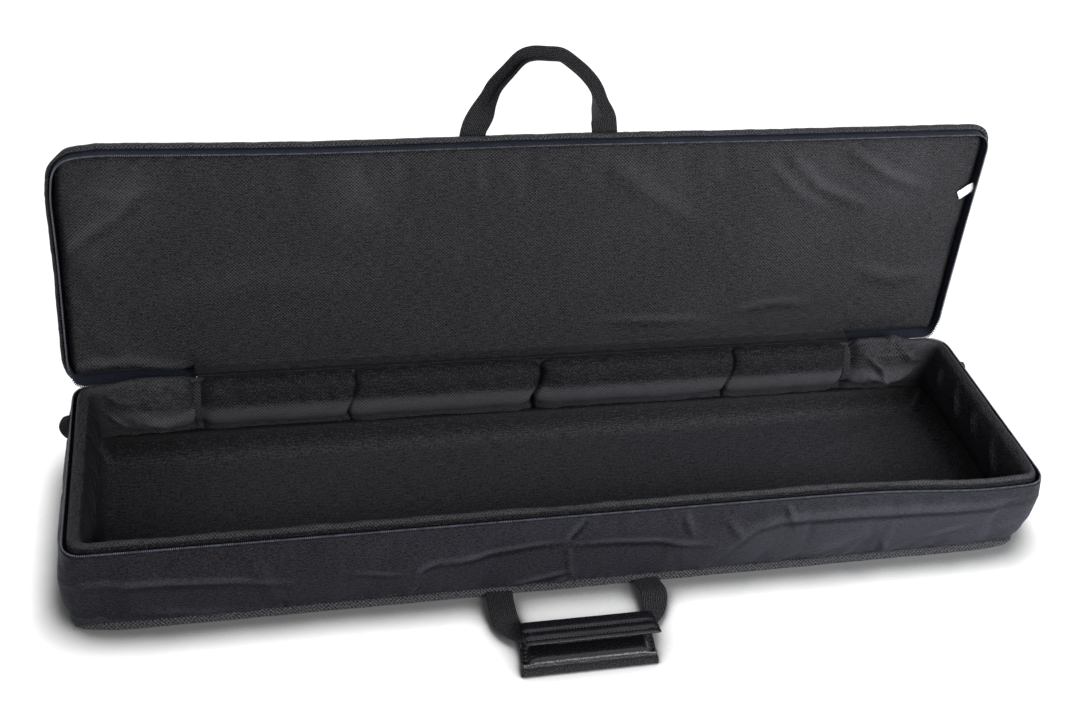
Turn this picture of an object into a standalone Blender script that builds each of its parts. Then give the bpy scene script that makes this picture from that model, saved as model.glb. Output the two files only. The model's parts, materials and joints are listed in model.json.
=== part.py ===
"""Keyboard gig bag, lying open: a padded tray, a padded lid on a fabric hinge, a zip between them,
a webbing handle on each half and a padded grip on the lower one.

Metres, +Z up. The origin is the middle of the underside. +X runs along the bag, +Y to the hinge.
The lid, the handles, the sliders and their pulls are built closed or flat in the frame of an empty
that stands on their joint's axis.
"""

import math

import bmesh
import bpy
from mathutils import Euler, Vector

# Overall sizes
LENGTH = 1.380
DEPTH = 0.352
WALL_HEIGHT = 0.139
LID_HEIGHT = 0.025
CORNER_RADIUS = 0.038
REAR_ZIP = 0.175
OPEN_ANGLE = math.radians(95.5)
HINGE_OFFSET = 0.006

# Cloth, foam and the space that sewn layers keep
GAP = 0.0003
FABRIC = 0.0012
LINING = 0.0010
TAPE = 0.0010
WALL_FOAM = 0.0143
PANEL_FOAM = 0.008
RIM_RISE = 0.0030
RIM_RECESS = 0.0064
PAD_CORNER = 0.0035

# Edge bindings
BINDING = 0.0032
BINDING_HEIGHT = 0.0100
BINDING_CHAMFER = 0.0010
BINDING_LAP = 0.0040
BINDING_RISE = 0.0020

# Zip
COIL_WIDTH = 0.0022
COIL_HEIGHT = 0.0025
COIL_DROP = 0.0020
TAPE_WIDTH = 0.0160
FABRIC_DROP = 0.0110
SLIDER_LENGTH = 0.0130
SLIDER_SKIRT = 0.0095
SLIDER_PLATE = 0.0009
SLIDER_CLEARANCE = 0.0005
SLIDER_INSET = 0.0150
CROWN_WIDTH = 0.0030
CROWN_BAR = 0.0010
CROWN_OPENING = 0.0027
PULL_BAR = 0.0016
PULL_WIDTH = 0.0084
PULL_LENGTH = 0.0300
PULL_EYE = 0.0046
PULL_EYE_WIDTH = 0.0046
PULL_CORNER = 0.0025

# Cloth over the rear fold, as it lies with the lid open
HINGE_STRIP_LAP = 0.0120
HINGE_STRIP_TURN = 0.0045
HINGE_CLOTH_SEAT = 0.0005
HINGE_LINING_START = 0.0030
HINGE_LINING_SAG = 0.0006

# Seams and tabs inside and on the ends
SEAM_BINDING_WIDTH = 0.0150
SEAM_BINDING = 0.0018
SIDE_TAB_WIDTH = 0.038
SIDE_TAB_REACH = 0.016
SIDE_TAB_THICKNESS = 0.0040
SIDE_TAB_FROM_REAR = 0.076
SIDE_TAB_TOP = 0.0200
LABEL_LENGTH = 0.028
LABEL_WIDTH = 0.016
LABEL_THICKNESS = 0.0005
LABEL_FROM_FRONT = 0.106
LABEL_TURN = math.radians(12)

# Webbing handles
HANDLE_CENTRE = -0.012
WEBBING_WIDTH = 0.038
WEBBING_THICKNESS = 0.0030
WEBBING_CLEARANCE = 0.0008
LID_HANDLE_SPAN = 0.192
LID_HANDLE_REACH = 0.124
BASE_HANDLE_FLARE = 0.012
BASE_HANDLE_REACH = 0.098
WEBBING_STEPS = 3
# Half of each loop from its foot to its middle: shares of half the span, the reach and the width
LID_HANDLE_SHARES = (
    (1.00, 0.00, 1.00),
    (0.95, 0.20, 1.00),
    (0.86, 0.40, 0.80),
    (0.81, 0.50, 0.54),
    (0.68, 0.63, 0.50),
    (0.48, 0.82, 0.50),
    (0.31, 0.95, 0.48),
    (0.17, 0.99, 0.46),
)
GRIP_WEBBING_SHARE = 0.66
BASE_HANDLE_SHARES = (
    (1.00, 0.00, 1.00),
    (1.04, 0.30, 1.00),
    (1.02, 0.58, 0.92),
    (0.93, 0.82, 0.80),
    (0.78, 0.97, 0.70),
    (0.55, 1.00, GRIP_WEBBING_SHARE),
)

# Grip wrap
GRIP_LENGTH = 0.186
GRIP_PAD = 0.0060
GRIP_PAD_WIDTH = 0.0710
GRIP_PAD_LIFT = 0.0005
GRIP_SPINE_CLEARANCE = 0.0088
GRIP_SPINE_RISE = 0.0087
GRIP_SPINE_WIDTH = 0.0022
GRIP_SPINE_INSET = 0.0210
GRIP_FLAP_RISE = 0.0002
GRIP_FLAP_WIDTH = 0.0470
GRIP_FLAP = 0.0055
GRIP_FLAP_CORNER = 0.0010
GRIP_FLAP_ANGLE = math.radians(13)
GRIP_STRIP_WIDTH = 0.0150
GRIP_STRIP = 0.0014
GRIP_CORNER = 0.0018

CORNER_STEPS = 6
RIM_STEPS = 3

HALF_LENGTH = LENGTH / 2
HALF_DEPTH = DEPTH / 2
ZIP_END = HALF_LENGTH - REAR_ZIP
LID_TOP = WALL_HEIGHT + LID_HEIGHT
INNER_INSET = FABRIC + GAP + WALL_FOAM + GAP + LINING + GAP
FOAM_BASE = FABRIC + GAP
RIM_TOP = WALL_HEIGHT + RIM_RISE
TAPE_INSET = FABRIC + GAP
TRAY_COIL_TOP = WALL_HEIGHT - COIL_DROP
TRAY_TAPE_TOP = TRAY_COIL_TOP - COIL_HEIGHT - GAP
COIL_INSET = TAPE_INSET + TAPE / 2 - COIL_WIDTH / 2
LID_COIL_BASE = WALL_HEIGHT + GAP
LID_TAPE_BASE = LID_COIL_BASE + COIL_HEIGHT + GAP
LID_FOAM_TOP = LID_TOP - FABRIC - GAP
LID_LINING_TOP = LID_FOAM_TOP - PANEL_FOAM - GAP
LID_LINING_BASE = LID_LINING_TOP - LINING
LID_INSET = TAPE_INSET + TAPE + GAP
BINDING_OUT = BINDING + GAP
BINDING_TOP = LID_TOP + BINDING_RISE
WEBBING_OUT = WEBBING_THICKNESS / 2 + WEBBING_CLEARANCE
HINGE = Vector((0, HALF_DEPTH + HINGE_OFFSET, WALL_HEIGHT))


def clear_scene():
    for old in list(bpy.data.objects):
        bpy.data.objects.remove(old)


def collection(name):
    made = bpy.data.collections.new(name)
    bpy.context.scene.collection.children.link(made)
    return made


def material(name, colour, roughness, metallic=0):
    made = bpy.data.materials.new(name)
    made.use_nodes = True
    shader = made.node_tree.nodes["Principled BSDF"]
    shader.inputs["Base Color"].default_value = (*colour, 1)
    shader.inputs["Roughness"].default_value = roughness
    shader.inputs["Metallic"].default_value = metallic
    made.diffuse_color = (*colour, 1)
    return made


clear_scene()
PARTS = collection("keyboard_gig_bag")
HELPERS = collection("cutters_and_guides")

OUTER = material("outer_fabric", (0.018, 0.019, 0.024), 0.62)
LINED = material("lining", (0.028, 0.028, 0.031), 0.80)
FOAM = material("foam", (0.10, 0.10, 0.11), 0.90)
RIBBED = material("binding_tape", (0.022, 0.022, 0.025), 0.75)
ZIP_TAPE = material("zip_tape", (0.016, 0.018, 0.030), 0.60)
COIL = material("zip_coil", (0.050, 0.052, 0.060), 0.40)
WEBBING = material("webbing", (0.020, 0.020, 0.022), 0.70)
LEATHERETTE = material("leatherette", (0.010, 0.010, 0.012), 0.32)
HOOK = material("hook_and_loop", (0.045, 0.045, 0.046), 0.95)
LABEL = material("label", (0.85, 0.85, 0.84), 0.70)
METAL = material("slider_metal", (0.030, 0.030, 0.032), 0.35, 1)


def empty(name, place, carrier=None, turn=0):
    """An empty on a joint's axis. It is turned about its own X."""
    made = bpy.data.objects.new(name, None)
    PARTS.objects.link(made)
    made.parent = carrier
    made.location = place
    made.rotation_euler = Euler((turn, 0, 0))
    return made


def finish(made, paint, carrier=None, helper=False):
    """Links an object and gives it its material and the joint that carries it."""
    (HELPERS if helper else PARTS).objects.link(made)
    if helper:
        made.hide_render = True
        made.display_type = "WIRE"
    if paint:
        made.data.materials.append(paint)
    made.parent = carrier
    return made


def poly_curve(name, splines, closed=True):
    """A flat curve through lists of points."""
    curve = bpy.data.curves.new(name, "CURVE")
    curve.dimensions = "2D"
    for points in splines:
        spline = curve.splines.new("POLY")
        spline.points.add(len(points) - 1)
        spline.points.foreach_set("co", [n for x, y in points for n in (x, y, 0, 1)])
        spline.use_cyclic_u = closed
    return curve


def arc(centre, radius, start, steps=RIM_STEPS):
    """A quarter turn, counter-clockwise from a start angle in quarter turns."""
    turns = [(start + step / steps) * math.pi / 2 for step in range(steps + 1)]
    return [(centre[0] + radius * math.cos(a), centre[1] + radius * math.sin(a)) for a in turns]


def plan_outline(inset=0):
    """The bag's outline in plan, drawn in by an inset, from the rear left corner round the front."""
    outline = []
    for turn in range(4):
        start = 1 + turn
        across = 1 if turn in (0, 1) else -1
        along = 1 if turn in (0, 3) else -1
        centre = (-across * (HALF_LENGTH - CORNER_RADIUS), along * (HALF_DEPTH - CORNER_RADIUS))
        outline += arc(centre, CORNER_RADIUS - inset, start, CORNER_STEPS)
    return outline


def band(name, profile, paint, path, carrier=None, place=(0, 0, 0)):
    """A strip round the bag: its section, in inset and height, swept along its outer wall.

    The section runs counter-clockwise. The path is ring, wrap, which is open between the zip's ends,
    or spine, which lies between them.
    """
    guide = poly_curve(name + "_section", [profile[::-1]])
    section = finish(bpy.data.objects.new(guide.name, guide), None, helper=True)
    if path == "spine":
        route = [(ZIP_END - GAP, HALF_DEPTH), (GAP - ZIP_END, HALF_DEPTH)]
    else:
        route = plan_outline()
    if path == "wrap":
        route = [(-ZIP_END, HALF_DEPTH), *route, (ZIP_END, HALF_DEPTH)]
    route.reverse()
    curve = poly_curve(name, [route], closed=path == "ring")
    curve.bevel_mode = "OBJECT"
    curve.bevel_object = section
    curve.use_fill_caps = path != "ring"
    made = finish(bpy.data.objects.new(name, curve), paint, carrier)
    made.location = place
    return made


def plate(name, outline, low, high, paint, carrier=None, place=(0, 0, 0), holes=(), helper=False):
    """A flat sheet between two heights."""
    curve = poly_curve(name, [outline, *holes])
    curve.fill_mode = "BOTH"
    curve.extrude = (high - low) / 2
    made = finish(bpy.data.objects.new(name, curve), paint, carrier, helper)
    made.location = Vector(place) + Vector((0, 0, (low + high) / 2))
    return made


def block(name, low, high, paint, carrier=None, corner=0, helper=False):
    """A box between two corners, with its edges rounded."""
    bpy.ops.mesh.primitive_cube_add(size=1)
    made = bpy.context.object
    made.name = name
    for used in list(made.users_collection):
        used.objects.unlink(made)
    size = Vector(high) - Vector(low)
    for vertex in made.data.vertices:
        vertex.co = Vector((vertex.co.x * size.x, vertex.co.y * size.y, vertex.co.z * size.z))
    finish(made, paint, carrier, helper)
    made.location = (Vector(low) + Vector(high)) / 2
    if corner:
        rounding = made.modifiers.new("Rounding", "BEVEL")
        rounding.width = corner
        rounding.segments = 2
    return made


def join(made, other):
    """Makes a helper one body with an object."""
    joined = made.modifiers.new("Join", "BOOLEAN")
    joined.operation = "UNION"
    joined.object = other


def smooth(made, angle=math.radians(35)):
    made.data.shade_smooth()
    made.data.set_sharp_from_angle(angle=angle)


def as_mesh(made):
    """Turns a curve object into a mesh object, so that a Boolean can use it."""
    bpy.context.view_layer.update()
    evaluated = made.evaluated_get(bpy.context.evaluated_depsgraph_get())
    mesh = bpy.data.meshes.new_from_object(evaluated)
    welded = bpy.data.objects.new(made.name + "_mesh", mesh)
    for used in made.users_collection:
        used.objects.link(welded)
    welded.parent = made.parent
    welded.matrix_local = made.matrix_local.copy()
    welded.hide_render = made.hide_render
    welded.display_type = made.display_type
    name = made.name
    bpy.data.objects.remove(made)
    welded.name = name
    shape = bmesh.new()
    shape.from_mesh(mesh)
    bmesh.ops.remove_doubles(shape, verts=shape.verts, dist=GAP / 10)
    bmesh.ops.recalc_face_normals(shape, faces=shape.faces)
    shape.to_mesh(mesh)
    shape.free()
    return welded


def rectangle(left, right, low, high):
    return [(left, low), (right, low), (right, high), (left, high)]


def strip_section(line, thickness):
    """The section of a cloth that follows a line of points, as a closed outline."""
    line = [Vector(point) for point in line]
    left, right = [], []
    for before, point, after in zip(line[:1] + line, line, line[1:] + line[-1:]):
        along = (after - before).normalized()
        side = Vector((along.y, -along.x)) * thickness / 2
        left.append(tuple(point - side))
        right.append(tuple(point + side))
    return right + left[::-1]


def smooth_line(stations, steps):
    """Points on a smooth curve through the stations."""
    points = []
    for i in range(len(stations) - 1):
        ends = [Vector(stations[min(max(i + n, 0), len(stations) - 1)]) for n in (-1, 0, 1, 2)]
        for step in range(steps):
            t = step / steps
            slope = ends[2] - ends[0]
            bend = 2 * ends[0] - 5 * ends[1] + 4 * ends[2] - ends[3]
            twist = 3 * ends[1] - ends[0] - 3 * ends[2] + ends[3]
            points.append((2 * ends[1] + slope * t + bend * t ** 2 + twist * t ** 3) / 2)
    return points + [Vector(stations[-1])]


def webbing_outline(shares, span, reach, tuck):
    """A flat webbing loop from foot to foot, with its width at each station."""
    half = [(span / 2 * a, -reach * b, WEBBING_WIDTH * c) for a, b, c in shares]
    half[0] = (span / 2, tuck, WEBBING_WIDTH)
    stations = half + [(-x, y, width) for x, y, width in reversed(half)]
    line = smooth_line(stations, WEBBING_STEPS)
    left, right = [], []
    for before, point, after in zip(line[:1] + line, line, line[1:] + line[-1:]):
        along = (after - before).to_2d().normalized()
        side = Vector((along.y, -along.x)) * point.z / 2
        left.append(tuple(point.to_2d() - side))
        right.append(tuple(point.to_2d() + side))
    for edge in (left, right):
        edge[0] = (edge[0][0], tuck)
        edge[-1] = (edge[-1][0], tuck)
    return left + right[::-1]


def foot_tuck(room):
    """How far a webbing foot may reach past its axis and still turn clear of what is this far away."""
    return math.sqrt((room - GAP / 2) ** 2 - (WEBBING_THICKNESS / 2) ** 2)


def foam_section(recess, recess_base):
    """Wall padding: upright, with a rounded rim, and cut back behind the zip where there is one."""
    outer = FABRIC + GAP
    inner = outer + WALL_FOAM
    centre = RIM_TOP - PAD_CORNER
    return [
        (outer, FOAM_BASE),
        (inner, FOAM_BASE),
        *arc((inner - PAD_CORNER, centre), PAD_CORNER, 0),
        *arc((recess + PAD_CORNER, centre), PAD_CORNER, 1),
        *([(recess, recess_base), (outer, recess_base)] if recess_base else []),
    ]


def rim_lining_section(recess, low):
    """Lining that climbs the padding, turns over its rim and ends behind it."""
    middle = GAP + LINING / 2
    radius = PAD_CORNER + middle
    inner = FABRIC + GAP + WALL_FOAM
    centre = RIM_TOP - PAD_CORNER
    line = [
        (inner + middle, FOAM_BASE),
        *arc((inner - PAD_CORNER, centre), radius, 0),
        *arc((recess + PAD_CORNER, centre), radius, 1),
    ]
    if low < centre:
        line.append((recess - middle, low))
    return strip_section(line, LINING)


def make_tray():
    plate("bottom_panel", plan_outline(), 0, FABRIC, OUTER)
    foam_top = FOAM_BASE + PANEL_FOAM
    plate("bottom_foam", plan_outline(INNER_INSET), FOAM_BASE, foam_top, FOAM)
    plate("bottom_lining", plan_outline(INNER_INSET), foam_top + GAP, foam_top + GAP + LINING, LINED)
    band(
        "bottom_binding",
        [
            (-BINDING_OUT, BINDING_CHAMFER),
            (BINDING_CHAMFER - BINDING_OUT, 0),
            (-GAP, 0),
            (-GAP, BINDING_HEIGHT),
            (BINDING_CHAMFER - BINDING_OUT, BINDING_HEIGHT),
            (-BINDING_OUT, BINDING_HEIGHT - BINDING_CHAMFER),
        ],
        RIBBED,
        "ring",
    )
    fabric_top = WALL_HEIGHT - FABRIC_DROP
    wall = rectangle(0, FABRIC, FOAM_BASE, fabric_top)
    recess_base = TRAY_TAPE_TOP - TAPE_WIDTH - GAP
    band("gusset_fabric", wall, OUTER, "wrap")
    band("gusset_foam", foam_section(RIM_RECESS, recess_base), FOAM, "wrap")
    band("gusset_lining", rim_lining_section(RIM_RECESS, recess_base + GAP + LINING), LINED, "wrap")
    band("spine_panel", wall, OUTER, "spine")
    band("spine_foam", foam_section(FABRIC + GAP, None), FOAM, "spine")
    band("spine_lining", rim_lining_section(FABRIC + GAP, RIM_TOP), LINED, "spine")
    for side, name in ((-1, "rear_seam_binding_left"), (1, "rear_seam_binding_right")):
        rear = HALF_DEPTH - INNER_INSET
        middle = side * ZIP_END
        block(
            name,
            (middle - SEAM_BINDING_WIDTH / 2, rear - SEAM_BINDING, foam_top + GAP + LINING + GAP),
            (middle + SEAM_BINDING_WIDTH / 2, rear, RIM_TOP - PAD_CORNER),
            RIBBED,
            corner=SEAM_BINDING / 4,
        )
    for side, name in ((-1, "side_tab_left"), (1, "side_tab_right")):
        near = side * (HALF_LENGTH + GAP)
        far = side * (HALF_LENGTH + GAP + SIDE_TAB_REACH)
        middle = HALF_DEPTH - SIDE_TAB_FROM_REAR
        top = WALL_HEIGHT - SIDE_TAB_TOP
        block(
            name,
            (min(near, far), middle - SIDE_TAB_THICKNESS / 2, top - SIDE_TAB_WIDTH),
            (max(near, far), middle + SIDE_TAB_THICKNESS / 2, top),
            WEBBING,
            corner=SIDE_TAB_THICKNESS / 4,
        )


def make_tray_zip():
    tape = rectangle(TAPE_INSET, TAPE_INSET + TAPE, TRAY_TAPE_TOP - TAPE_WIDTH, TRAY_TAPE_TOP)
    coil = rectangle(COIL_INSET, COIL_INSET + COIL_WIDTH, TRAY_COIL_TOP - COIL_HEIGHT, TRAY_COIL_TOP)
    band("tray_zipper_tape", tape, ZIP_TAPE, "wrap")
    band("tray_zipper_coil", coil, COIL, "wrap")


def opened(inset, height):
    """Where a point of the closed lid's rear edge lies, in inset and height, with the lid open."""
    point = Vector((0, HALF_DEPTH - inset, height)) - HINGE
    point.rotate(Euler((-OPEN_ANGLE, 0, 0)))
    point += HINGE
    return Vector((HALF_DEPTH - point.y, point.z))


def make_hinge():
    """The cloth over the rear fold, from the tray's seam to the open lid's."""
    outside = -GAP - FABRIC / 2
    turn = HINGE_STRIP_TURN
    seam = opened(-GAP - BINDING / 2, BINDING_TOP - BINDING_HEIGHT)
    strip = [
        (outside, WALL_HEIGHT - FABRIC_DROP - HINGE_STRIP_LAP),
        *arc((outside - turn, WALL_HEIGHT - turn), turn, 0),
        seam + Vector((HINGE_CLOTH_SEAT, 0)),
    ]
    band("hinge_strip", strip_section(strip, FABRIC), OUTER, "spine")
    start = Vector((-GAP, WALL_HEIGHT + HINGE_LINING_START))
    end = opened(LID_INSET, LID_LINING_TOP - LINING / 2) - Vector((0, HINGE_CLOTH_SEAT + LINING / 2))
    middle = (start + end) / 2 - Vector((0, HINGE_LINING_SAG))
    band("hinge_lining", strip_section([start, middle, end], LINING), LINED, "spine")


def make_lid():
    lid = empty("lid_hinge", HINGE, turn=-OPEN_ANGLE)
    place = -HINGE
    plate("lid_panel", plan_outline(), LID_TOP - FABRIC, LID_TOP, OUTER, lid, place)
    inside = plan_outline(LID_INSET)
    plate("lid_foam", inside, LID_FOAM_TOP - PANEL_FOAM, LID_FOAM_TOP, FOAM, lid, place)
    plate("lid_lining", inside, LID_LINING_BASE, LID_LINING_TOP, LINED, lid, place)
    band(
        "lid_binding",
        [
            (-BINDING_OUT, BINDING_TOP - BINDING_HEIGHT),
            (-GAP, BINDING_TOP - BINDING_HEIGHT),
            (-GAP, LID_TOP + GAP),
            (BINDING_LAP, LID_TOP + GAP),
            (BINDING_LAP, BINDING_TOP),
            (BINDING_CHAMFER - BINDING_OUT, BINDING_TOP),
            (-BINDING_OUT, BINDING_TOP - BINDING_CHAMFER),
        ],
        RIBBED,
        "ring",
        lid,
        place,
    )
    tape = rectangle(TAPE_INSET, TAPE_INSET + TAPE, LID_TAPE_BASE, LID_FOAM_TOP)
    coil = rectangle(COIL_INSET, COIL_INSET + COIL_WIDTH, LID_COIL_BASE, LID_COIL_BASE + COIL_HEIGHT)
    band("lid_zipper_tape", tape, ZIP_TAPE, "wrap", lid, place)
    band("lid_zipper_coil", coil, COIL, "wrap", lid, place)
    label = block(
        "care_label",
        (-LABEL_LENGTH, -LABEL_WIDTH / 2, -LABEL_THICKNESS),
        (0, LABEL_WIDTH / 2, 0),
        LABEL,
        lid,
    )
    turn = Euler((0, 0, LABEL_TURN))
    edge = HALF_LENGTH - LID_INSET - LABEL_WIDTH / 2 * math.sin(LABEL_TURN)
    seam = Vector((edge, LABEL_FROM_FRONT - HALF_DEPTH, LID_LINING_BASE - GAP))
    middle = Vector((-LABEL_LENGTH / 2, 0, -LABEL_THICKNESS / 2))
    middle.rotate(turn)
    label.location = seam + middle - HINGE
    label.rotation_euler = turn
    return lid


def make_lid_handle(lid):
    axis = Vector((0, -HALF_DEPTH - BINDING_OUT - WEBBING_OUT, BINDING_TOP + WEBBING_OUT))
    carrier = empty("lid_handle_hinge", axis - HINGE, lid)
    tuck = foot_tuck(math.sqrt(2) * (WEBBING_OUT + BINDING_CHAMFER / 2))
    outline = webbing_outline(LID_HANDLE_SHARES, LID_HANDLE_SPAN, LID_HANDLE_REACH, tuck)
    half = WEBBING_THICKNESS / 2
    plate("lid_handle_webbing", outline, -half, half, WEBBING, carrier, (HANDLE_CENTRE, 0, 0))


def make_base_handle():
    pad_top = GRIP_PAD_LIFT + GRIP_PAD
    half = WEBBING_THICKNESS / 2
    axis = Vector((0, -HALF_DEPTH - BINDING_OUT - WEBBING_OUT, pad_top + GAP + half))
    carrier = empty("base_handle_hinge", axis)
    span = GRIP_LENGTH + 2 * BASE_HANDLE_FLARE
    outline = webbing_outline(BASE_HANDLE_SHARES, span, BASE_HANDLE_REACH, foot_tuck(WEBBING_OUT))
    plate("base_handle_webbing", outline, -half, half, WEBBING, carrier, (HANDLE_CENTRE, 0, 0))
    left, right = HANDLE_CENTRE - GRIP_LENGTH / 2, HANDLE_CENTRE + GRIP_LENGTH / 2
    webbing_rear = axis.y - BASE_HANDLE_REACH + WEBBING_WIDTH * GRIP_WEBBING_SHARE / 2
    rear = webbing_rear + GRIP_SPINE_CLEARANCE + GRIP_SPINE_WIDTH
    front = rear - GRIP_PAD_WIDTH
    spine_top = pad_top + GAP + WEBBING_THICKNESS + GRIP_SPINE_RISE
    pad = block(
        "grip_lower_pad",
        Vector((left, front, GRIP_PAD_LIFT)) - axis,
        Vector((right, rear, pad_top)) - axis,
        LEATHERETTE,
        carrier,
        corner=GRIP_CORNER,
    )
    spine = block(
        "grip_spine",
        Vector((left + GRIP_SPINE_INSET, rear - GRIP_SPINE_WIDTH, pad_top - GRIP_CORNER)) - axis,
        Vector((right - GRIP_SPINE_INSET, rear - GRIP_CORNER / 2, spine_top)) - axis,
        None,
        carrier,
        helper=True,
    )
    join(pad, spine)
    block(
        "grip_hook_strip",
        Vector((left, front + GRIP_CORNER, pad_top + GAP)) - axis,
        Vector((right, front + GRIP_CORNER + GRIP_STRIP_WIDTH, pad_top + GAP + GRIP_STRIP)) - axis,
        HOOK,
        carrier,
    )
    flap_axis = Vector((HANDLE_CENTRE, rear, spine_top + GRIP_FLAP_RISE))
    flap_carrier = empty("grip_flap_hinge", flap_axis - axis, carrier, turn=-GRIP_FLAP_ANGLE)
    block(
        "grip_upper_flap",
        (-GRIP_LENGTH / 2, -GRIP_FLAP_WIDTH, GAP),
        (GRIP_LENGTH / 2, 0, GAP + GRIP_FLAP),
        LEATHERETTE,
        flap_carrier,
        corner=GRIP_FLAP_CORNER,
    )
    block(
        "grip_loop_strip",
        (GRIP_FLAP_CORNER - GRIP_LENGTH / 2, GRIP_FLAP_CORNER - GRIP_FLAP_WIDTH, -GRIP_STRIP),
        (GRIP_LENGTH / 2 - GRIP_FLAP_CORNER, GRIP_FLAP_CORNER - GRIP_FLAP_WIDTH + GRIP_STRIP_WIDTH, 0),
        HOOK,
        flap_carrier,
    )


def upright(made):
    """Stands a flat curve up, so that its X runs to the rear and its Y runs up, and centres it."""
    made.rotation_euler = Euler((math.pi / 2, 0, math.pi / 2))
    made.location = (0, 0, 0)
    return made


def make_slider(side, name):
    """A slider over the tray's coil, at the end of the zip, with a crown that holds its pull."""
    inside = COIL_INSET + COIL_WIDTH + SLIDER_CLEARANCE
    outside = COIL_INSET - SLIDER_CLEARANCE
    top = WALL_HEIGHT - GAP
    low = WALL_HEIGHT - SLIDER_SKIRT
    under = TRAY_COIL_TOP + GAP
    crown_z = (top + low) / 2
    body = [
        (-inside - SLIDER_PLATE, low),
        (-inside, low),
        (-inside, under),
        (-outside, under),
        (-outside, low),
        (SLIDER_PLATE - outside, low),
        (SLIDER_PLATE - outside, top),
        (-inside - SLIDER_PLATE, top),
    ]
    face = SLIDER_PLATE - outside
    reach = face + CROWN_OPENING + CROWN_BAR
    half = CROWN_OPENING / 2
    root = face - SLIDER_PLATE / 2
    crown = [
        (root, crown_z - half - CROWN_BAR),
        (reach, crown_z - half - CROWN_BAR),
        (reach, crown_z + half + CROWN_BAR),
        (root, crown_z + half + CROWN_BAR),
        (root, crown_z + half),
        (reach - CROWN_BAR, crown_z + half),
        (reach - CROWN_BAR, crown_z - half),
        (root, crown_z - half),
    ]
    x = side * (ZIP_END + SLIDER_INSET)
    carrier = empty(name + "_slide", (x, HALF_DEPTH, 0))
    ends = SLIDER_LENGTH / 2
    made = as_mesh(upright(plate(name, body, -ends, ends, METAL, carrier)))
    ends = CROWN_WIDTH / 2
    arch = plate(name + "_crown", crown, -ends, ends, None, carrier, helper=True)
    join(made, as_mesh(upright(arch)))
    pull_axis = empty(name + "_pull", (0, face + half, crown_z), carrier)
    make_pull(name.replace("zipper_slider", "pull_tab"), pull_axis)


def make_pull(name, carrier):
    """A flat tab that hangs from its bar. The bar lies on the pull's axis, inside the crown."""
    half_width = PULL_WIDTH / 2
    half_bar = PULL_BAR / 2
    low = -PULL_LENGTH
    outline = [
        (half_width, half_bar),
        (-half_width, half_bar),
        *arc((PULL_CORNER - half_width, low + PULL_CORNER), PULL_CORNER, 2),
        *arc((half_width - PULL_CORNER, low + PULL_CORNER), PULL_CORNER, 3),
    ]
    eye = rectangle(-PULL_EYE_WIDTH / 2, PULL_EYE_WIDTH / 2, -half_bar - PULL_EYE, -half_bar)
    made = plate(name, outline, -half_bar, half_bar, METAL, carrier, holes=[eye])
    made.rotation_euler = Euler((math.pi / 2, 0, 0))
    made.location = (0, 0, 0)


make_tray()
make_tray_zip()
make_hinge()
make_lid_handle(make_lid())
make_base_handle()
make_slider(-1, "zipper_slider_left")
make_slider(1, "zipper_slider_right")
for part in PARTS.objects:
    if part.type == "MESH":
        smooth(part)
bpy.context.view_layer.update()
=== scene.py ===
"""Looks of the keyboard gig bag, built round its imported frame.

Metres, in the frame's own axes: +X along the bag, +Y to the hinge, +Z up. Tables of folds, sections and
stations are in millimetres. Cloth, padding, tapes and webbing are modelled as meshes here. What the lid
carries is made with the lid closed and turned open.
"""

import json
import math

import bpy
import numpy as np
from mathutils import Matrix, Vector


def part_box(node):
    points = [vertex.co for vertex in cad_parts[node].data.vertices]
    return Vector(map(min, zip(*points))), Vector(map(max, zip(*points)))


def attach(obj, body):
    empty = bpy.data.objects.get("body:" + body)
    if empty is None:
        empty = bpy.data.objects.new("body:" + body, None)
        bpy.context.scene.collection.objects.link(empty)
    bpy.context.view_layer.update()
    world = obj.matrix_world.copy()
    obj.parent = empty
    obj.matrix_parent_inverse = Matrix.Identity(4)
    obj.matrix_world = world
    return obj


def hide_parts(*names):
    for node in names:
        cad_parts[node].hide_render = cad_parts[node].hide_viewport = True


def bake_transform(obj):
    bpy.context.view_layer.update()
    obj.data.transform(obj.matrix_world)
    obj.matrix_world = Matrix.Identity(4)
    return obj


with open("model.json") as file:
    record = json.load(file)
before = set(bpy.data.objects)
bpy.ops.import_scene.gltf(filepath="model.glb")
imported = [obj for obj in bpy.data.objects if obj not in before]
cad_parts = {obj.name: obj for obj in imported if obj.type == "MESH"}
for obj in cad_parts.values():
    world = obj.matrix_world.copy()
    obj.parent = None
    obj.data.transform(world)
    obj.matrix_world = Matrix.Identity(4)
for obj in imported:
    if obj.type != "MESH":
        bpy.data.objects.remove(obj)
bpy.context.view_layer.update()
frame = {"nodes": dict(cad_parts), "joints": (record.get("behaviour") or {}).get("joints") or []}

JOINTS = {joint["name"]: joint for joint in frame["joints"]}
SIDES = ((-1, "left"), (1, "right"))

# Sizes that the frame gives
HALF_LENGTH, HALF_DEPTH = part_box("bottom_panel")[1].xy
HINGE = Vector(JOINTS["lid_hinge"]["pos_m"])
OPEN_ANGLE = math.radians(JOINTS["lid_hinge"]["range_deg"][1])
WALL_HEIGHT = HINGE.z
SEAM_LOW, SEAM_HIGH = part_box("rear_seam_binding_right")
ZIP_END = (SEAM_LOW.x + SEAM_HIGH.x) / 2
FLOOR_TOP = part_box("bottom_lining")[1].z
LID_HANDLE_AXIS = Vector(JOINTS["lid_handle_hinge"]["pos_m"])
BASE_HANDLE_AXIS = Vector(JOINTS["base_handle_hinge"]["pos_m"])
FLAP_AXIS = Vector(JOINTS["grip_flap_hinge"]["pos_m"])
PAD_LOW, PAD_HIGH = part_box("grip_lower_pad")

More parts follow.
